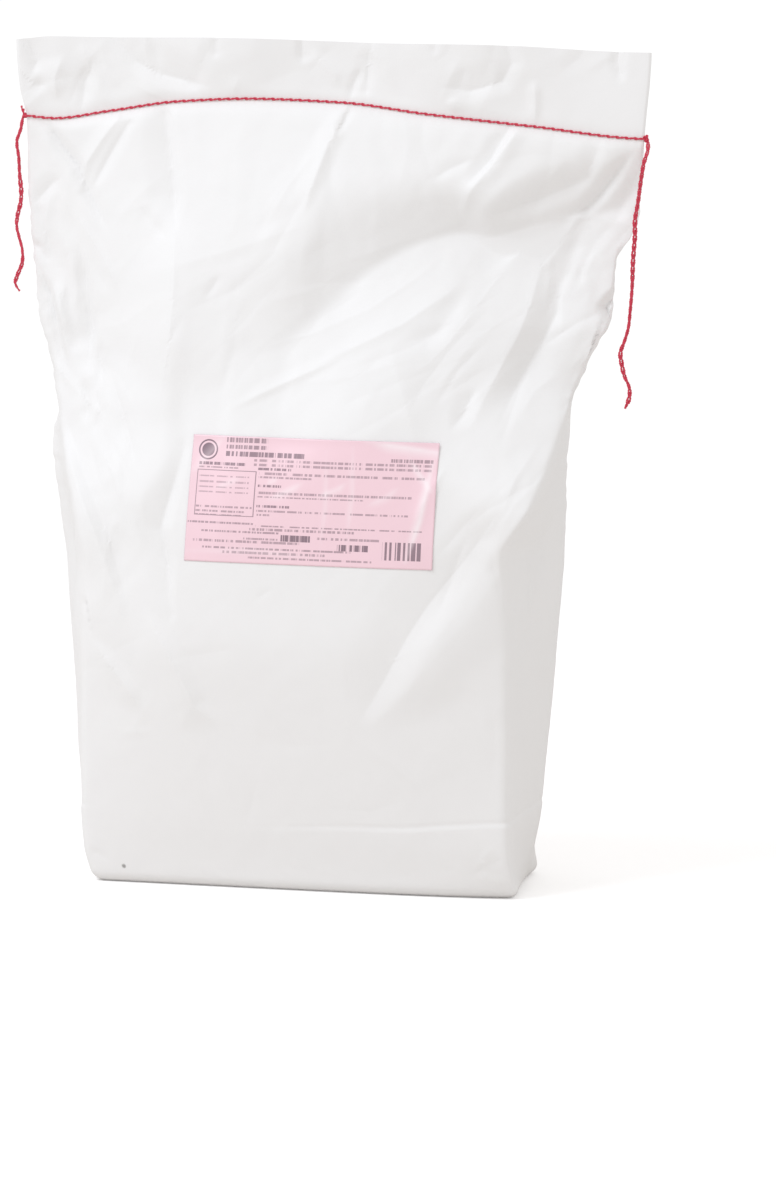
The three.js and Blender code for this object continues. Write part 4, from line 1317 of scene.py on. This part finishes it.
@dataclass
class StuckLabel:
    """The label: a thin sheet that lies on the front and bridges its finest creases.

    Attributes:
        middle: where its middle lies on the front.
        turn: degrees clockwise from the front.
        cell: size of a mesh cell.
        lift: clearance over the paper.
        thickness: of the sheet.
        bridging: how often its shape is evened out, which says how wide a dent it bridges.
        streak_height: height of the creases in its coating.
    """

    middle: tuple[float, float] = (8.0, 330.0)
    turn: float = 0.4
    cell: float = 1.5
    lift: float = 0.35
    thickness: float = 0.18
    bridging: int = 24
    streak_height: float = 0.3

    def build(self, material: bpy.types.Material, surface: BVHTree) -> bpy.types.Object:
        """Make the label.

        Args:
            material: the printed sheet.
            surface: the sack's surface.

        Returns:
            The piece.
        """
        width, height = LABEL_SIZE
        across, up = round(width / self.cell), round(height / self.cell)
        sheet = bmesh.new()
        sheet.loops.layers.uv.new("UVMap")
        bmesh.ops.create_grid(sheet, x_segments=across, y_segments=up, size=1, calc_uvs=True)
        turn = math.radians(self.turn)
        share = np.array([v.co[:2] for v in sheet.verts])
        flat = share * [width / 2, height / 2]
        x = self.middle[0] + flat[:, 0] * math.cos(turn) + flat[:, 1] * math.sin(turn)
        z = self.middle[1] - flat[:, 0] * math.sin(turn) + flat[:, 1] * math.cos(turn)
        column = np.rint((share[:, 0] + 1) / 2 * across).astype(int)
        row = np.rint((share[:, 1] + 1) / 2 * up).astype(int)
        skin = np.zeros((up + 1, across + 1))
        for i, (px, pz) in enumerate(zip(x, z)):
            hit = surface.ray_cast(Vector((px * MM, -CLEAR, pz * MM)), Vector((0, 1, 0)))[0]
            skin[row[i], column[i]] = hit.y / MM
        bridged = skin
        for _ in range(self.bridging):
            padded = np.pad(bridged, 1, mode="edge")
            around = padded[:-2, 1:-1] + padded[2:, 1:-1] + padded[1:-1, :-2] + padded[1:-1, 2:]
            bridged = np.minimum(skin, 0.25 * around)
        # The creases of the coating raise the sheet a little, and their strength is stored for the label's
        # painted highlight.
        painted_glare = relief_of(PAINTED_GLARE_STREAKS, flat[:, 0] + width / 2, flat[:, 1] + height / 2)
        layer = sheet.verts.layers.float.new(PAINTED_GLARE_ATTRIBUTE)
        for i, vertex in enumerate(sheet.verts):
            out = bridged[row[i], column[i]] - self.lift - self.streak_height * painted_glare[i]
            vertex.co = (x[i] * MM, out * MM, z[i] * MM)
            vertex[layer] = float(np.clip(painted_glare[i], 0, 1))
        bmesh.ops.recalc_face_normals(sheet, faces=sheet.faces)
        if sheet.faces[0].normal.y > 0:
            bmesh.ops.reverse_faces(sheet, faces=sheet.faces)
        for face in sheet.faces:
            face.smooth = True
        mesh = mesh_of(sheet, "label_sheet")
        piece = finish_piece("label_sheet", mesh, material, Node.LABEL)
        solid = piece.modifiers.new("thickness", "SOLIDIFY")
        solid.thickness = self.thickness * MM
        solid.offset = 1
        return piece


# ---------------------------------------------------------------------------------------------
# Thread: the seam and its loose ends
# ---------------------------------------------------------------------------------------------

Strand = list[Vector]


def smooth_path(points: Sequence[Sequence[float]], step: float = 1.0) -> Strand:
    """Points on a smooth curve through given points.

    Args:
        points: what the curve goes through, in millimetres.
        step: distance between the points that come back, in millimetres.

    Returns:
        The curve's points in metres, the first and last as given.
    """
    given = [Vector([c * MM for c in point]) for point in points]
    given = [2 * given[0] - given[1], *given, 2 * given[-1] - given[-2]]
    found: Strand = []
    for a, b, c, d in zip(given, given[1:], given[2:], given[3:]):
        t1 = (b - a).length ** 0.5
        t2 = t1 + (c - b).length ** 0.5
        t3 = t2 + (d - c).length ** 0.5
        count = max(1, round((c - b).length / (step * MM)))
        for i in range(count):
            t = t1 + (t2 - t1) * i / count
            ab, bc, cd = a.lerp(b, t / t1), b.lerp(c, (t - t1) / (t2 - t1)), c.lerp(d, (t - t2) / (t3 - t2))
            found.append(ab.lerp(bc, t / t2).lerp(bc.lerp(cd, (t - t1) / (t3 - t1)), (t - t1) / (t2 - t1)))
    found.append(given[-2])
    return found


def path_length(points: Sequence[Vector]) -> float:
    """Length of a line of points."""
    return sum((b - a).length for a, b in zip(points, points[1:]))


@dataclass
class ThreadMaker:
    """Turns centrelines into twisted two-ply thread.

    Attributes:
        diameter: of the thread, in millimetres.
        lay: length of one full twist.
        plies: how many plies are twisted together.
        ply_size, ply_off: radius of a ply, and how far its middle is off the thread's, in thread radii.
    """

    diameter: float
    lay: float
    plies: int = 2
    ply_size: float = 0.62
    ply_off: float = 0.42

    def mesh(self, name: str, strands: Sequence[tuple[Strand, bool]]) -> bpy.types.Mesh:
        """Make the mesh of many strands.

        Args:
            name: name of the mesh.
            strands: centrelines in metres, each with whether it closes on itself.

        Returns:
            One mesh of all plies.
        """
        curve = bpy.data.curves.new(name, "CURVE")
        curve.dimensions = "3D"
        curve.bevel_depth = self.diameter / 2 * self.ply_size * MM
        curve.bevel_resolution = 1
        curve.use_fill_caps = True
        for line, closed in strands:
            for ply in range(self.plies):
                twisted = self.twist(line, closed, 2 * math.pi * ply / self.plies)
                spline = curve.splines.new("POLY")
                spline.points.add(len(twisted) - 1)
                for point, co in zip(spline.points, twisted):
                    point.co = (*co, 1)
                spline.use_cyclic_u = closed
        holder = add_object(name + "_line", curve)
        depsgraph = bpy.context.evaluated_depsgraph_get()
        mesh = bpy.data.meshes.new_from_object(holder.evaluated_get(depsgraph))
        bpy.data.objects.remove(holder)
        bpy.data.curves.remove(curve)
        for polygon in mesh.polygons:
            polygon.use_smooth = True
        return mesh

    def twist(self, line: Strand, closed: bool, start: float) -> Strand:
        """Centreline of one ply, wound round the thread's own centreline."""
        off = self.diameter / 2 * self.ply_off * MM
        total = path_length(line) + ((line[0] - line[-1]).length if closed else 0)
        turns = total / (self.lay * MM)
        if closed:
            turns = max(1, round(turns))
        found = []
        passed = 0.0
        # the first side may point anywhere but along the thread
        side = Vector((0, 1, 0.03))
        for i, here in enumerate(line):
            before = line[i - 1] if i or closed else here
            after = line[(i + 1) % len(line)] if i + 1 < len(line) or closed else here
            way = (after - before).normalized()
            side = (side - way * side.dot(way)).normalized()
            angle = start + 2 * math.pi * turns * passed / total
            found.append(here + off * (side * math.cos(angle) + way.cross(side) * math.sin(angle)))
            if i + 1 < len(line):
                passed += (line[i + 1] - here).length
        return found


@dataclass
class SewnSeam:
    """The chain-stitched seam: a row of slanted stitches on the front, and the chain on the back.

    Attributes:
        pitch: length of a stitch.
        overlap: how far a stitch runs on beside the next.
        slant: rise of a stitch from end to end.
        proud, sunk: height of a stitch's middle over the paper, and how deep its ends lie, in diameters.
        points: points along a stitch.
        edge_rest: the paper nearer to the side edges than this is read this far in.
        knot_loops: small loops at each corner, where the seam turns into its loose end.
        knot_size: half the width of the largest of them.
        knot_points: points round such a loop.
        knot_shares: sizes that are drawn, as shares of the largest.
        knot_places: where their middles are drawn, beyond the edge, from the middle plane, over the seam.
        knot_tips: how far they are tipped, in radians.
        knot_flat: their width as a share of their length.
        tufts: lean and length of the bare ends that stand up at the left corner.
        seed: draws the small loops.
        thread: the thread that it is sewn with.
    """

    pitch: float = 7.8
    overlap: float = 1.6
    slant: float = 1.1
    proud: float = 0.62
    sunk: float = 0.12
    points: int = 9
    edge_rest: float = 1.5
    knot_loops: int = 3
    knot_size: float = 2.4
    knot_points: int = 12
    knot_shares: tuple[float, float] = (0.6, 1.0)
    knot_places: tuple[tuple[float, float], ...] = ((0.6, 1.6), (-1.6, -0.2), (-1.6, 0.8))
    knot_tips: tuple[float, float] = (0.3, 1.2)
    knot_flat: float = 0.55
    tufts: tuple[tuple[float, float], ...] = ((-2.6, 8.5), (-0.6, 6.0))
    seed: int = 5
    thread: ThreadMaker = field(default_factory=lambda: ThreadMaker(diameter=1.9, lay=6.6))

    def build(self, material: bpy.types.Material, surface: BVHTree) -> bpy.types.Object:
        """Make the seam.

        Args:
            material: the thread.
            surface: the sack's surface.

        Returns:
            The piece.
        """
        left = -HALF_PANEL - float(curve_at(LEFT.gusset, SEAM_HEIGHT))
        right = HALF_PANEL + float(curve_at(RIGHT.gusset, SEAM_HEIGHT))
        count = round((right - left) / self.pitch)
        pitch = (right - left) / count
        strands: list[tuple[Strand, bool]] = []

        def skin_y(x: float, z: float, sign: int) -> float:
            inside = min(max(x, left + self.edge_rest), right - self.edge_rest)
            hit = surface.ray_cast(Vector((inside * MM, sign * CLEAR, z * MM)), Vector((0, -sign, 0)))[0]
            return hit.y if hit else 0.0

        for i in range(count):
            for sign in (-1, 1):
                start, end = left + i * pitch - self.overlap / 2, left + (i + 1) * pitch + self.overlap / 2
                line = []
                for k in range(self.points):
                    share = k / (self.points - 1)
                    x = start + (end - start) * share
                    z = float(curve_at(SEAM_LINE, x)) + self.slant * (share - 0.5) * -sign
                    out = self.thread.diameter * (self.proud * math.sin(math.pi * share) ** 0.6 - self.sunk)
                    line.append(Vector((x * MM, skin_y(x, z, sign) + sign * out * MM, z * MM)))
                strands.append((line, False))
        rng = random.Random(self.seed)
        for edge, tail in ((left, LEFT_TAIL_ROUTE), (right, RIGHT_TAIL_ROUTE)):
            strands += self.corner(edge, tail[0], skin_y, rng)
        mesh = self.thread.mesh("seam", strands)
        return finish_piece("seam_stitches", mesh, material, Node.SEAM)

    def corner(
        self, edge: float, tail: tuple[float, float, float], skin_y: Callable[[float, float, int], float],
        rng: random.Random,
    ) -> list[tuple[Strand, bool]]:
        """The thread round the paper's edge, where the seam turns into its loose end.

        Args:
            edge: where the paper ends.
            tail: where the loose end starts.
            skin_y: reads the paper's surface.
            rng: draws the small loops.

        Returns:
            The strands.
        """
        out = math.copysign(1, edge)
        z = float(curve_at(SEAM_LINE, edge))
        radius = self.thread.diameter / 2
        front, back = (skin_y(edge, z, sign) / MM + sign * radius for sign in (-1, 1))
        # from the last stitch on the front round the edge to the back, and from the front down to the tail
        wrap = [(edge - 4 * out, front, z), (edge + 0.2 * out, front * 0.9, z - 0.4),
                (edge + 1.6 * out, 0, z - 0.8), (edge + 0.2 * out, back * 0.9, z - 0.6),
                (edge - 4 * out, back, z)]
        down = [(edge - 2 * out, front - 0.6, z + 0.3), (edge + out, front * 0.7, z - 0.2),
                (tail[0] + 0.3 * out, tail[1], tail[2] + 0.6)]
        strands = [(smooth_path(wrap), False), (smooth_path(down), False)]
        angles = np.linspace(0, 2 * math.pi, self.knot_points, endpoint=False)
        for _ in range(self.knot_loops):
            size = self.knot_size * rng.uniform(*self.knot_shares)
            beyond, depth, over = (rng.uniform(*limits) for limits in self.knot_places)
            middle = Vector((edge + beyond * out, depth, z + over))
            turned = Matrix.Rotation(rng.uniform(0, math.pi), 3, "Y")
            turned = turned @ Matrix.Rotation(rng.uniform(*self.knot_tips), 3, "X")
            ring = [Vector((math.cos(a), 0, self.knot_flat * math.sin(a))) * size for a in angles]
            strands.append(([(middle + turned @ point) * MM for point in ring], True))
        for lean, length in self.tufts if out < 0 else ():
            tuft = [(edge - 0.6, -1.5, z), (edge - 1.4 + lean / 2, -2.2, z + length / 2),
                    (edge - 1.2 + lean, -1.6, z + length)]
            strands.append((smooth_path(tuft), False))
        return strands


LEFT_TAIL_ROUTE = [(-268.8, -1, 650.3), (-269.8, -3, 640), (-272.8, -4, 629.8), (-271, -4, 616),
                   (-269.7, -4.5, 600), (-268, -5, 586), (-268.5, -5, 576.5), (-271, -5, 566),
                   (-271.7, -5, 556.6), (-269, -5.5, 546.3), (-266.2, -6, 536.8), (-266, -6, 524.7),
                   (-269.4, -6, 516), (-272, -6, 507), (-268, -6, 500.5)]
RIGHT_TAIL_ROUTE = [(273.7, -1, 638.1), (274, -4, 630), (271.5, -8, 620), (269.5, -9.5, 605),
                    (267.5, -10, 586), (265.5, -10, 571.7), (265.8, -10, 559), (264.8, -10, 538),
                    (264.6, -10, 513), (263.5, -10, 494), (262.6, -10, 482), (259.6, -10, 470),
                    (256.4, -10, 460), (257.6, -10, 451), (260.3, -10, 440.5), (264.8, -10, 430.5),
                    (264.7, -10, 421), (261.5, -10, 413)]
# How open the chain's loops hang, at each height.
LEFT_TAIL_LOOPS = [(505, 0.3), (512, 0.9), (525, 0.9), (532, 0.5), (556, 0.5), (566, 1.0), (596, 1.0),
                   (604, 0.6), (650, 0.6)]
RIGHT_TAIL_LOOPS = [(412, 0.4), (419, 1.0), (428, 0.9), (434, 0.5), (446, 1.0), (460, 1.0), (468, 0.6),
                    (516, 0.65), (528, 1.0), (570, 1.0), (580, 0.8), (638, 0.85)]


@dataclass
class ChainTail:
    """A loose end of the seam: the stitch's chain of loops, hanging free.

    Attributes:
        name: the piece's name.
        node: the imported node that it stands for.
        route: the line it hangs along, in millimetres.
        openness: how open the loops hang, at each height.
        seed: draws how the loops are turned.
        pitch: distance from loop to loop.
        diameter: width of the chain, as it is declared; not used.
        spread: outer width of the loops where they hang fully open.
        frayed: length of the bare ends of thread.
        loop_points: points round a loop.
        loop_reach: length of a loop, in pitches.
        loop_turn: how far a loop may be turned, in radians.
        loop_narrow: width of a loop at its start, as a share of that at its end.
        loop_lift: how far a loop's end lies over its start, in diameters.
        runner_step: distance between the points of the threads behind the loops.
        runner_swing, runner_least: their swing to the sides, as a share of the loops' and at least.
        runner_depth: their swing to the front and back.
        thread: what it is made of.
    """

    name: str
    node: Node
    route: Sequence[tuple[float, float, float]]
    openness: Stations
    seed: int
    pitch: float = 6.6
    diameter: float = 4.5
    spread: float = 5.4
    frayed: float = 5.0
    loop_points: int = 14
    loop_reach: float = 1.3
    loop_turn: float = 0.4
    loop_narrow: float = 0.55
    loop_lift: float = 0.8
    runner_step: float = 1.6
    runner_swing: float = 0.5
    runner_least: float = 0.45
    runner_depth: float = 0.6
    thread: ThreadMaker = field(default_factory=lambda: ThreadMaker(diameter=1.7, lay=4.8))

    def build(self, material: bpy.types.Material) -> bpy.types.Object:
        """Args:
            material: the thread.

        Returns:
            The piece.
        """
        path = smooth_path(self.route, step=2.0)
        length = path_length(path)
        rng = random.Random(self.seed)
        count = int((length / MM - self.frayed) / self.pitch)
        strands = [(self.loop(path, i * self.pitch * MM, rng), True) for i in range(count)]
        strands += [(self.runner(path, phase), False) for phase in (0.0, math.pi)]
        mesh = self.thread.mesh(self.name, strands)
        piece = finish_piece(self.name, mesh, material, self.node)
        return piece

    @staticmethod
    def frame_at(path: Strand, distance: float) -> tuple[Vector, Vector, Vector]:
        """Point, side and depth of a path at a distance along it."""
        for a, b in zip(path, path[1:]):
            step = (b - a).length
            if distance <= step:
                break
            distance -= step
        way = (b - a).normalized()
        side = (Vector((1, 0, 0)) - way * way.x).normalized()
        return a.lerp(b, min(1.0, distance / step)), side, way.cross(side)

    def open_at(self, height: float) -> float:
        """Half the width that the chain hangs open at a height, to the middle of its thread, in metres."""
        return float(curve_at(self.openness, height / MM)) * (self.spread - self.thread.diameter) / 2 * MM

    def loop(self, path: Strand, start: float, rng: random.Random) -> Strand:
        """One drop-shaped loop of the chain, turned a little against the one before."""
        reach = self.pitch * self.loop_reach * MM
        turn = rng.uniform(-self.loop_turn, self.loop_turn)
        total = path_length(path) - self.frayed * MM
        line = []
        for k in range(self.loop_points):
            angle = 2 * math.pi * k / self.loop_points
            share = 0.5 - 0.5 * math.cos(angle)
            here, side, depth = self.frame_at(path, min(start + reach * share, total))
            widening = self.loop_narrow + (1 - self.loop_narrow) * share
            out = math.sin(angle) * widening * self.open_at(here.z)
            lift = (share - 0.5) * self.thread.diameter * self.loop_lift * MM
            line.append(here + out * (side * math.cos(turn) + depth * math.sin(turn)) + depth * lift)
        return line

    def runner(self, path: Strand, phase: float) -> Strand:
        """A thread that runs behind the loops, from the seam to its bare end."""
        total = path_length(path)
        line = []
        count = int(total / (self.runner_step * MM))
        for k in range(count + 1):
            distance = total * k / count
            here, side, depth = self.frame_at(path, distance)
            angle = 2 * math.pi * distance / (2 * self.pitch * MM) + phase
            swing = max(self.runner_least * MM, self.runner_swing * self.open_at(here.z)) * math.sin(angle)
            line.append(here + side * swing + depth * self.runner_depth * MM * math.cos(angle))
        return line


# ---------------------------------------------------------------------------------------------
# Studio
# ---------------------------------------------------------------------------------------------


@dataclass(frozen=True)
class Softbox:
    """A rectangular light that looks at the sack.

    Attributes:
        place: its middle, in metres.
        width, height: its size.
        power: in watts.
        colour: of its light.
    """

    place: tuple[float, float, float]
    width: float
    height: float
    power: float
    colour: str

    def build(self, name: str, target: Vector) -> None:
        """Make the light."""
        light = bpy.data.lights.new(name, "AREA")
        light.shape = "RECTANGLE"
        light.size, light.size_y, light.energy = self.width, self.height, self.power
        light.color = linear(self.colour)[:3]
        lamp = add_object(name, light)
        lamp.location = self.place
        lamp.rotation_mode = "QUATERNION"
        lamp.rotation_quaternion = (target - Vector(self.place)).to_track_quat("-Z", "Y")


@dataclass
class Studio:
    """Camera, pale floor and soft light of a product shot.

    Attributes:
        camera_place, camera_forward, camera_up: the camera, in metres.
        focal_pixels: focal length in pixels of the 1200 pixel long side.
        long_side: pixels of the picture's long side.
        sensor: millimetres of the same side.
        clip: nearest and farthest that the camera sees, in metres.
        floor_half: half the width of the floor, in metres.
        lights: the softboxes by name.
        lit: the point that they look at, in metres.
        world_light: how much light the white surroundings give.
        world_seen: how white the camera sees them.
        floor_seen: light that the overlit floor adds for the camera alone.
    """

    camera_place: tuple[float, float, float] = (0.5256, -2.9509, 0.4956)
    camera_forward: tuple[float, float, float] = (-0.1547, 0.9843, -0.0844)
    camera_up: tuple[float, float, float] = (-0.0358, 0.0798, 0.9962)
    focal_pixels: float = 3480.0
    long_side: float = 1200.0
    sensor: float = 36.0
    clip: tuple[float, float] = (0.05, 60.0)
    floor_half: float = 2.2
    lights: dict[str, Softbox] = field(default_factory=lambda: {
        "key": Softbox(place=(-2.15, -2.2, 3.8), width=1.8, height=1.8, power=75.0, colour="F0F6FF"),
    })
    lit: tuple[float, float, float] = (0.0, 0.0, 0.36)
    world_light: float = 0.835
    world_seen: float = 1.05
    floor_seen: float = 0.2

    def build_camera(self) -> None:
        """Make the camera that sees the sack as the photograph does."""
        data = bpy.data.cameras.new("camera")
        data.sensor_width = self.sensor
        data.lens = self.focal_pixels / self.long_side * self.sensor
        data.clip_start, data.clip_end = self.clip
        camera = add_object("camera", data)
        forward, up = Vector(self.camera_forward).normalized(), Vector(self.camera_up)
        right = forward.cross(up).normalized()
        up = right.cross(forward)
        turned = Matrix((right, up, -forward)).transposed().to_4x4()
        camera.matrix_world = Matrix.Translation(self.camera_place) @ turned
        bpy.context.scene.camera = camera
        LOG.info("camera: %.0f mm lens", data.lens)

    def build_floor(self) -> None:
        """Make the pale floor."""
        sheet = bmesh.new()
        bmesh.ops.create_grid(sheet, x_segments=1, y_segments=1, size=self.floor_half)
        mesh = mesh_of(sheet, "studio_floor")
        material, tree = new_material("white_studio_floor")
        path = add_node(tree, "LightPath")
        seen = add_node(tree, "BsdfPrincipled", inputs={
            "Base Color": linear("FDFDFD"), "Roughness": 0.8, "Emission Color": (1, 1, 1, 1),
            "Emission Strength": self.floor_seen})
        bounced = add_node(tree, "BsdfDiffuse", inputs={"Color": linear("ECE8E4")})
        both = add_node(tree, "MixShader", inputs={
            0: path.outputs["Is Camera Ray"], 1: bounced.outputs[0], 2: seen.outputs[0]})
        add_node(tree, "OutputMaterial", inputs={"Surface": both.outputs[0]})
        mesh.materials.append(material)
        add_object("studio_floor", mesh)

    def build_light(self) -> None:
        """Make the white surroundings and the softboxes."""
        scene = bpy.context.scene
        scene.view_settings.view_transform = "Standard"
        world = bpy.data.worlds.new("white_surroundings")
        scene.world = world
        world.use_nodes = True
        tree = world.node_tree
        tree.nodes.clear()
        seen = add_node(tree, "Background", inputs={"Color": (1, 1, 1, 1), "Strength": self.world_seen})
        cast = add_node(tree, "Background", inputs={"Color": linear("FFFDFC"), "Strength": self.world_light})
        path = add_node(tree, "LightPath")
        both = add_node(tree, "MixShader", inputs={
            0: path.outputs["Is Camera Ray"], 1: cast.outputs[0], 2: seen.outputs[0]})
        add_node(tree, "OutputWorld", inputs={"Surface": both.outputs[0]})
        for name, light in self.lights.items():
            light.build(name, Vector(self.lit))


# ---------------------------------------------------------------------------------------------


def main() -> None:
    """Build the sack and its studio."""
    logging.basicConfig(level=logging.INFO, format="%(name)s %(message)s")
    studio = Studio()
    studio.build_camera()
    thread = TwistedPolyesterThread().build()
    ChainTail("tail_left", Node.TAIL_LEFT, LEFT_TAIL_ROUTE, LEFT_TAIL_LOOPS, seed=3).build(thread)
    ChainTail("tail_right", Node.TAIL_RIGHT, RIGHT_TAIL_ROUTE, RIGHT_TAIL_LOOPS, seed=8).build(thread)
    _, surface = PaperSack().build(BleachedKraftPaper().build())
    StuckLabel().build(CoatedLabelPaper().build(), surface)
    SewnSeam().build(thread, surface)
    studio.build_floor()
    studio.build_light()


if __name__ == "__main__":
    main()
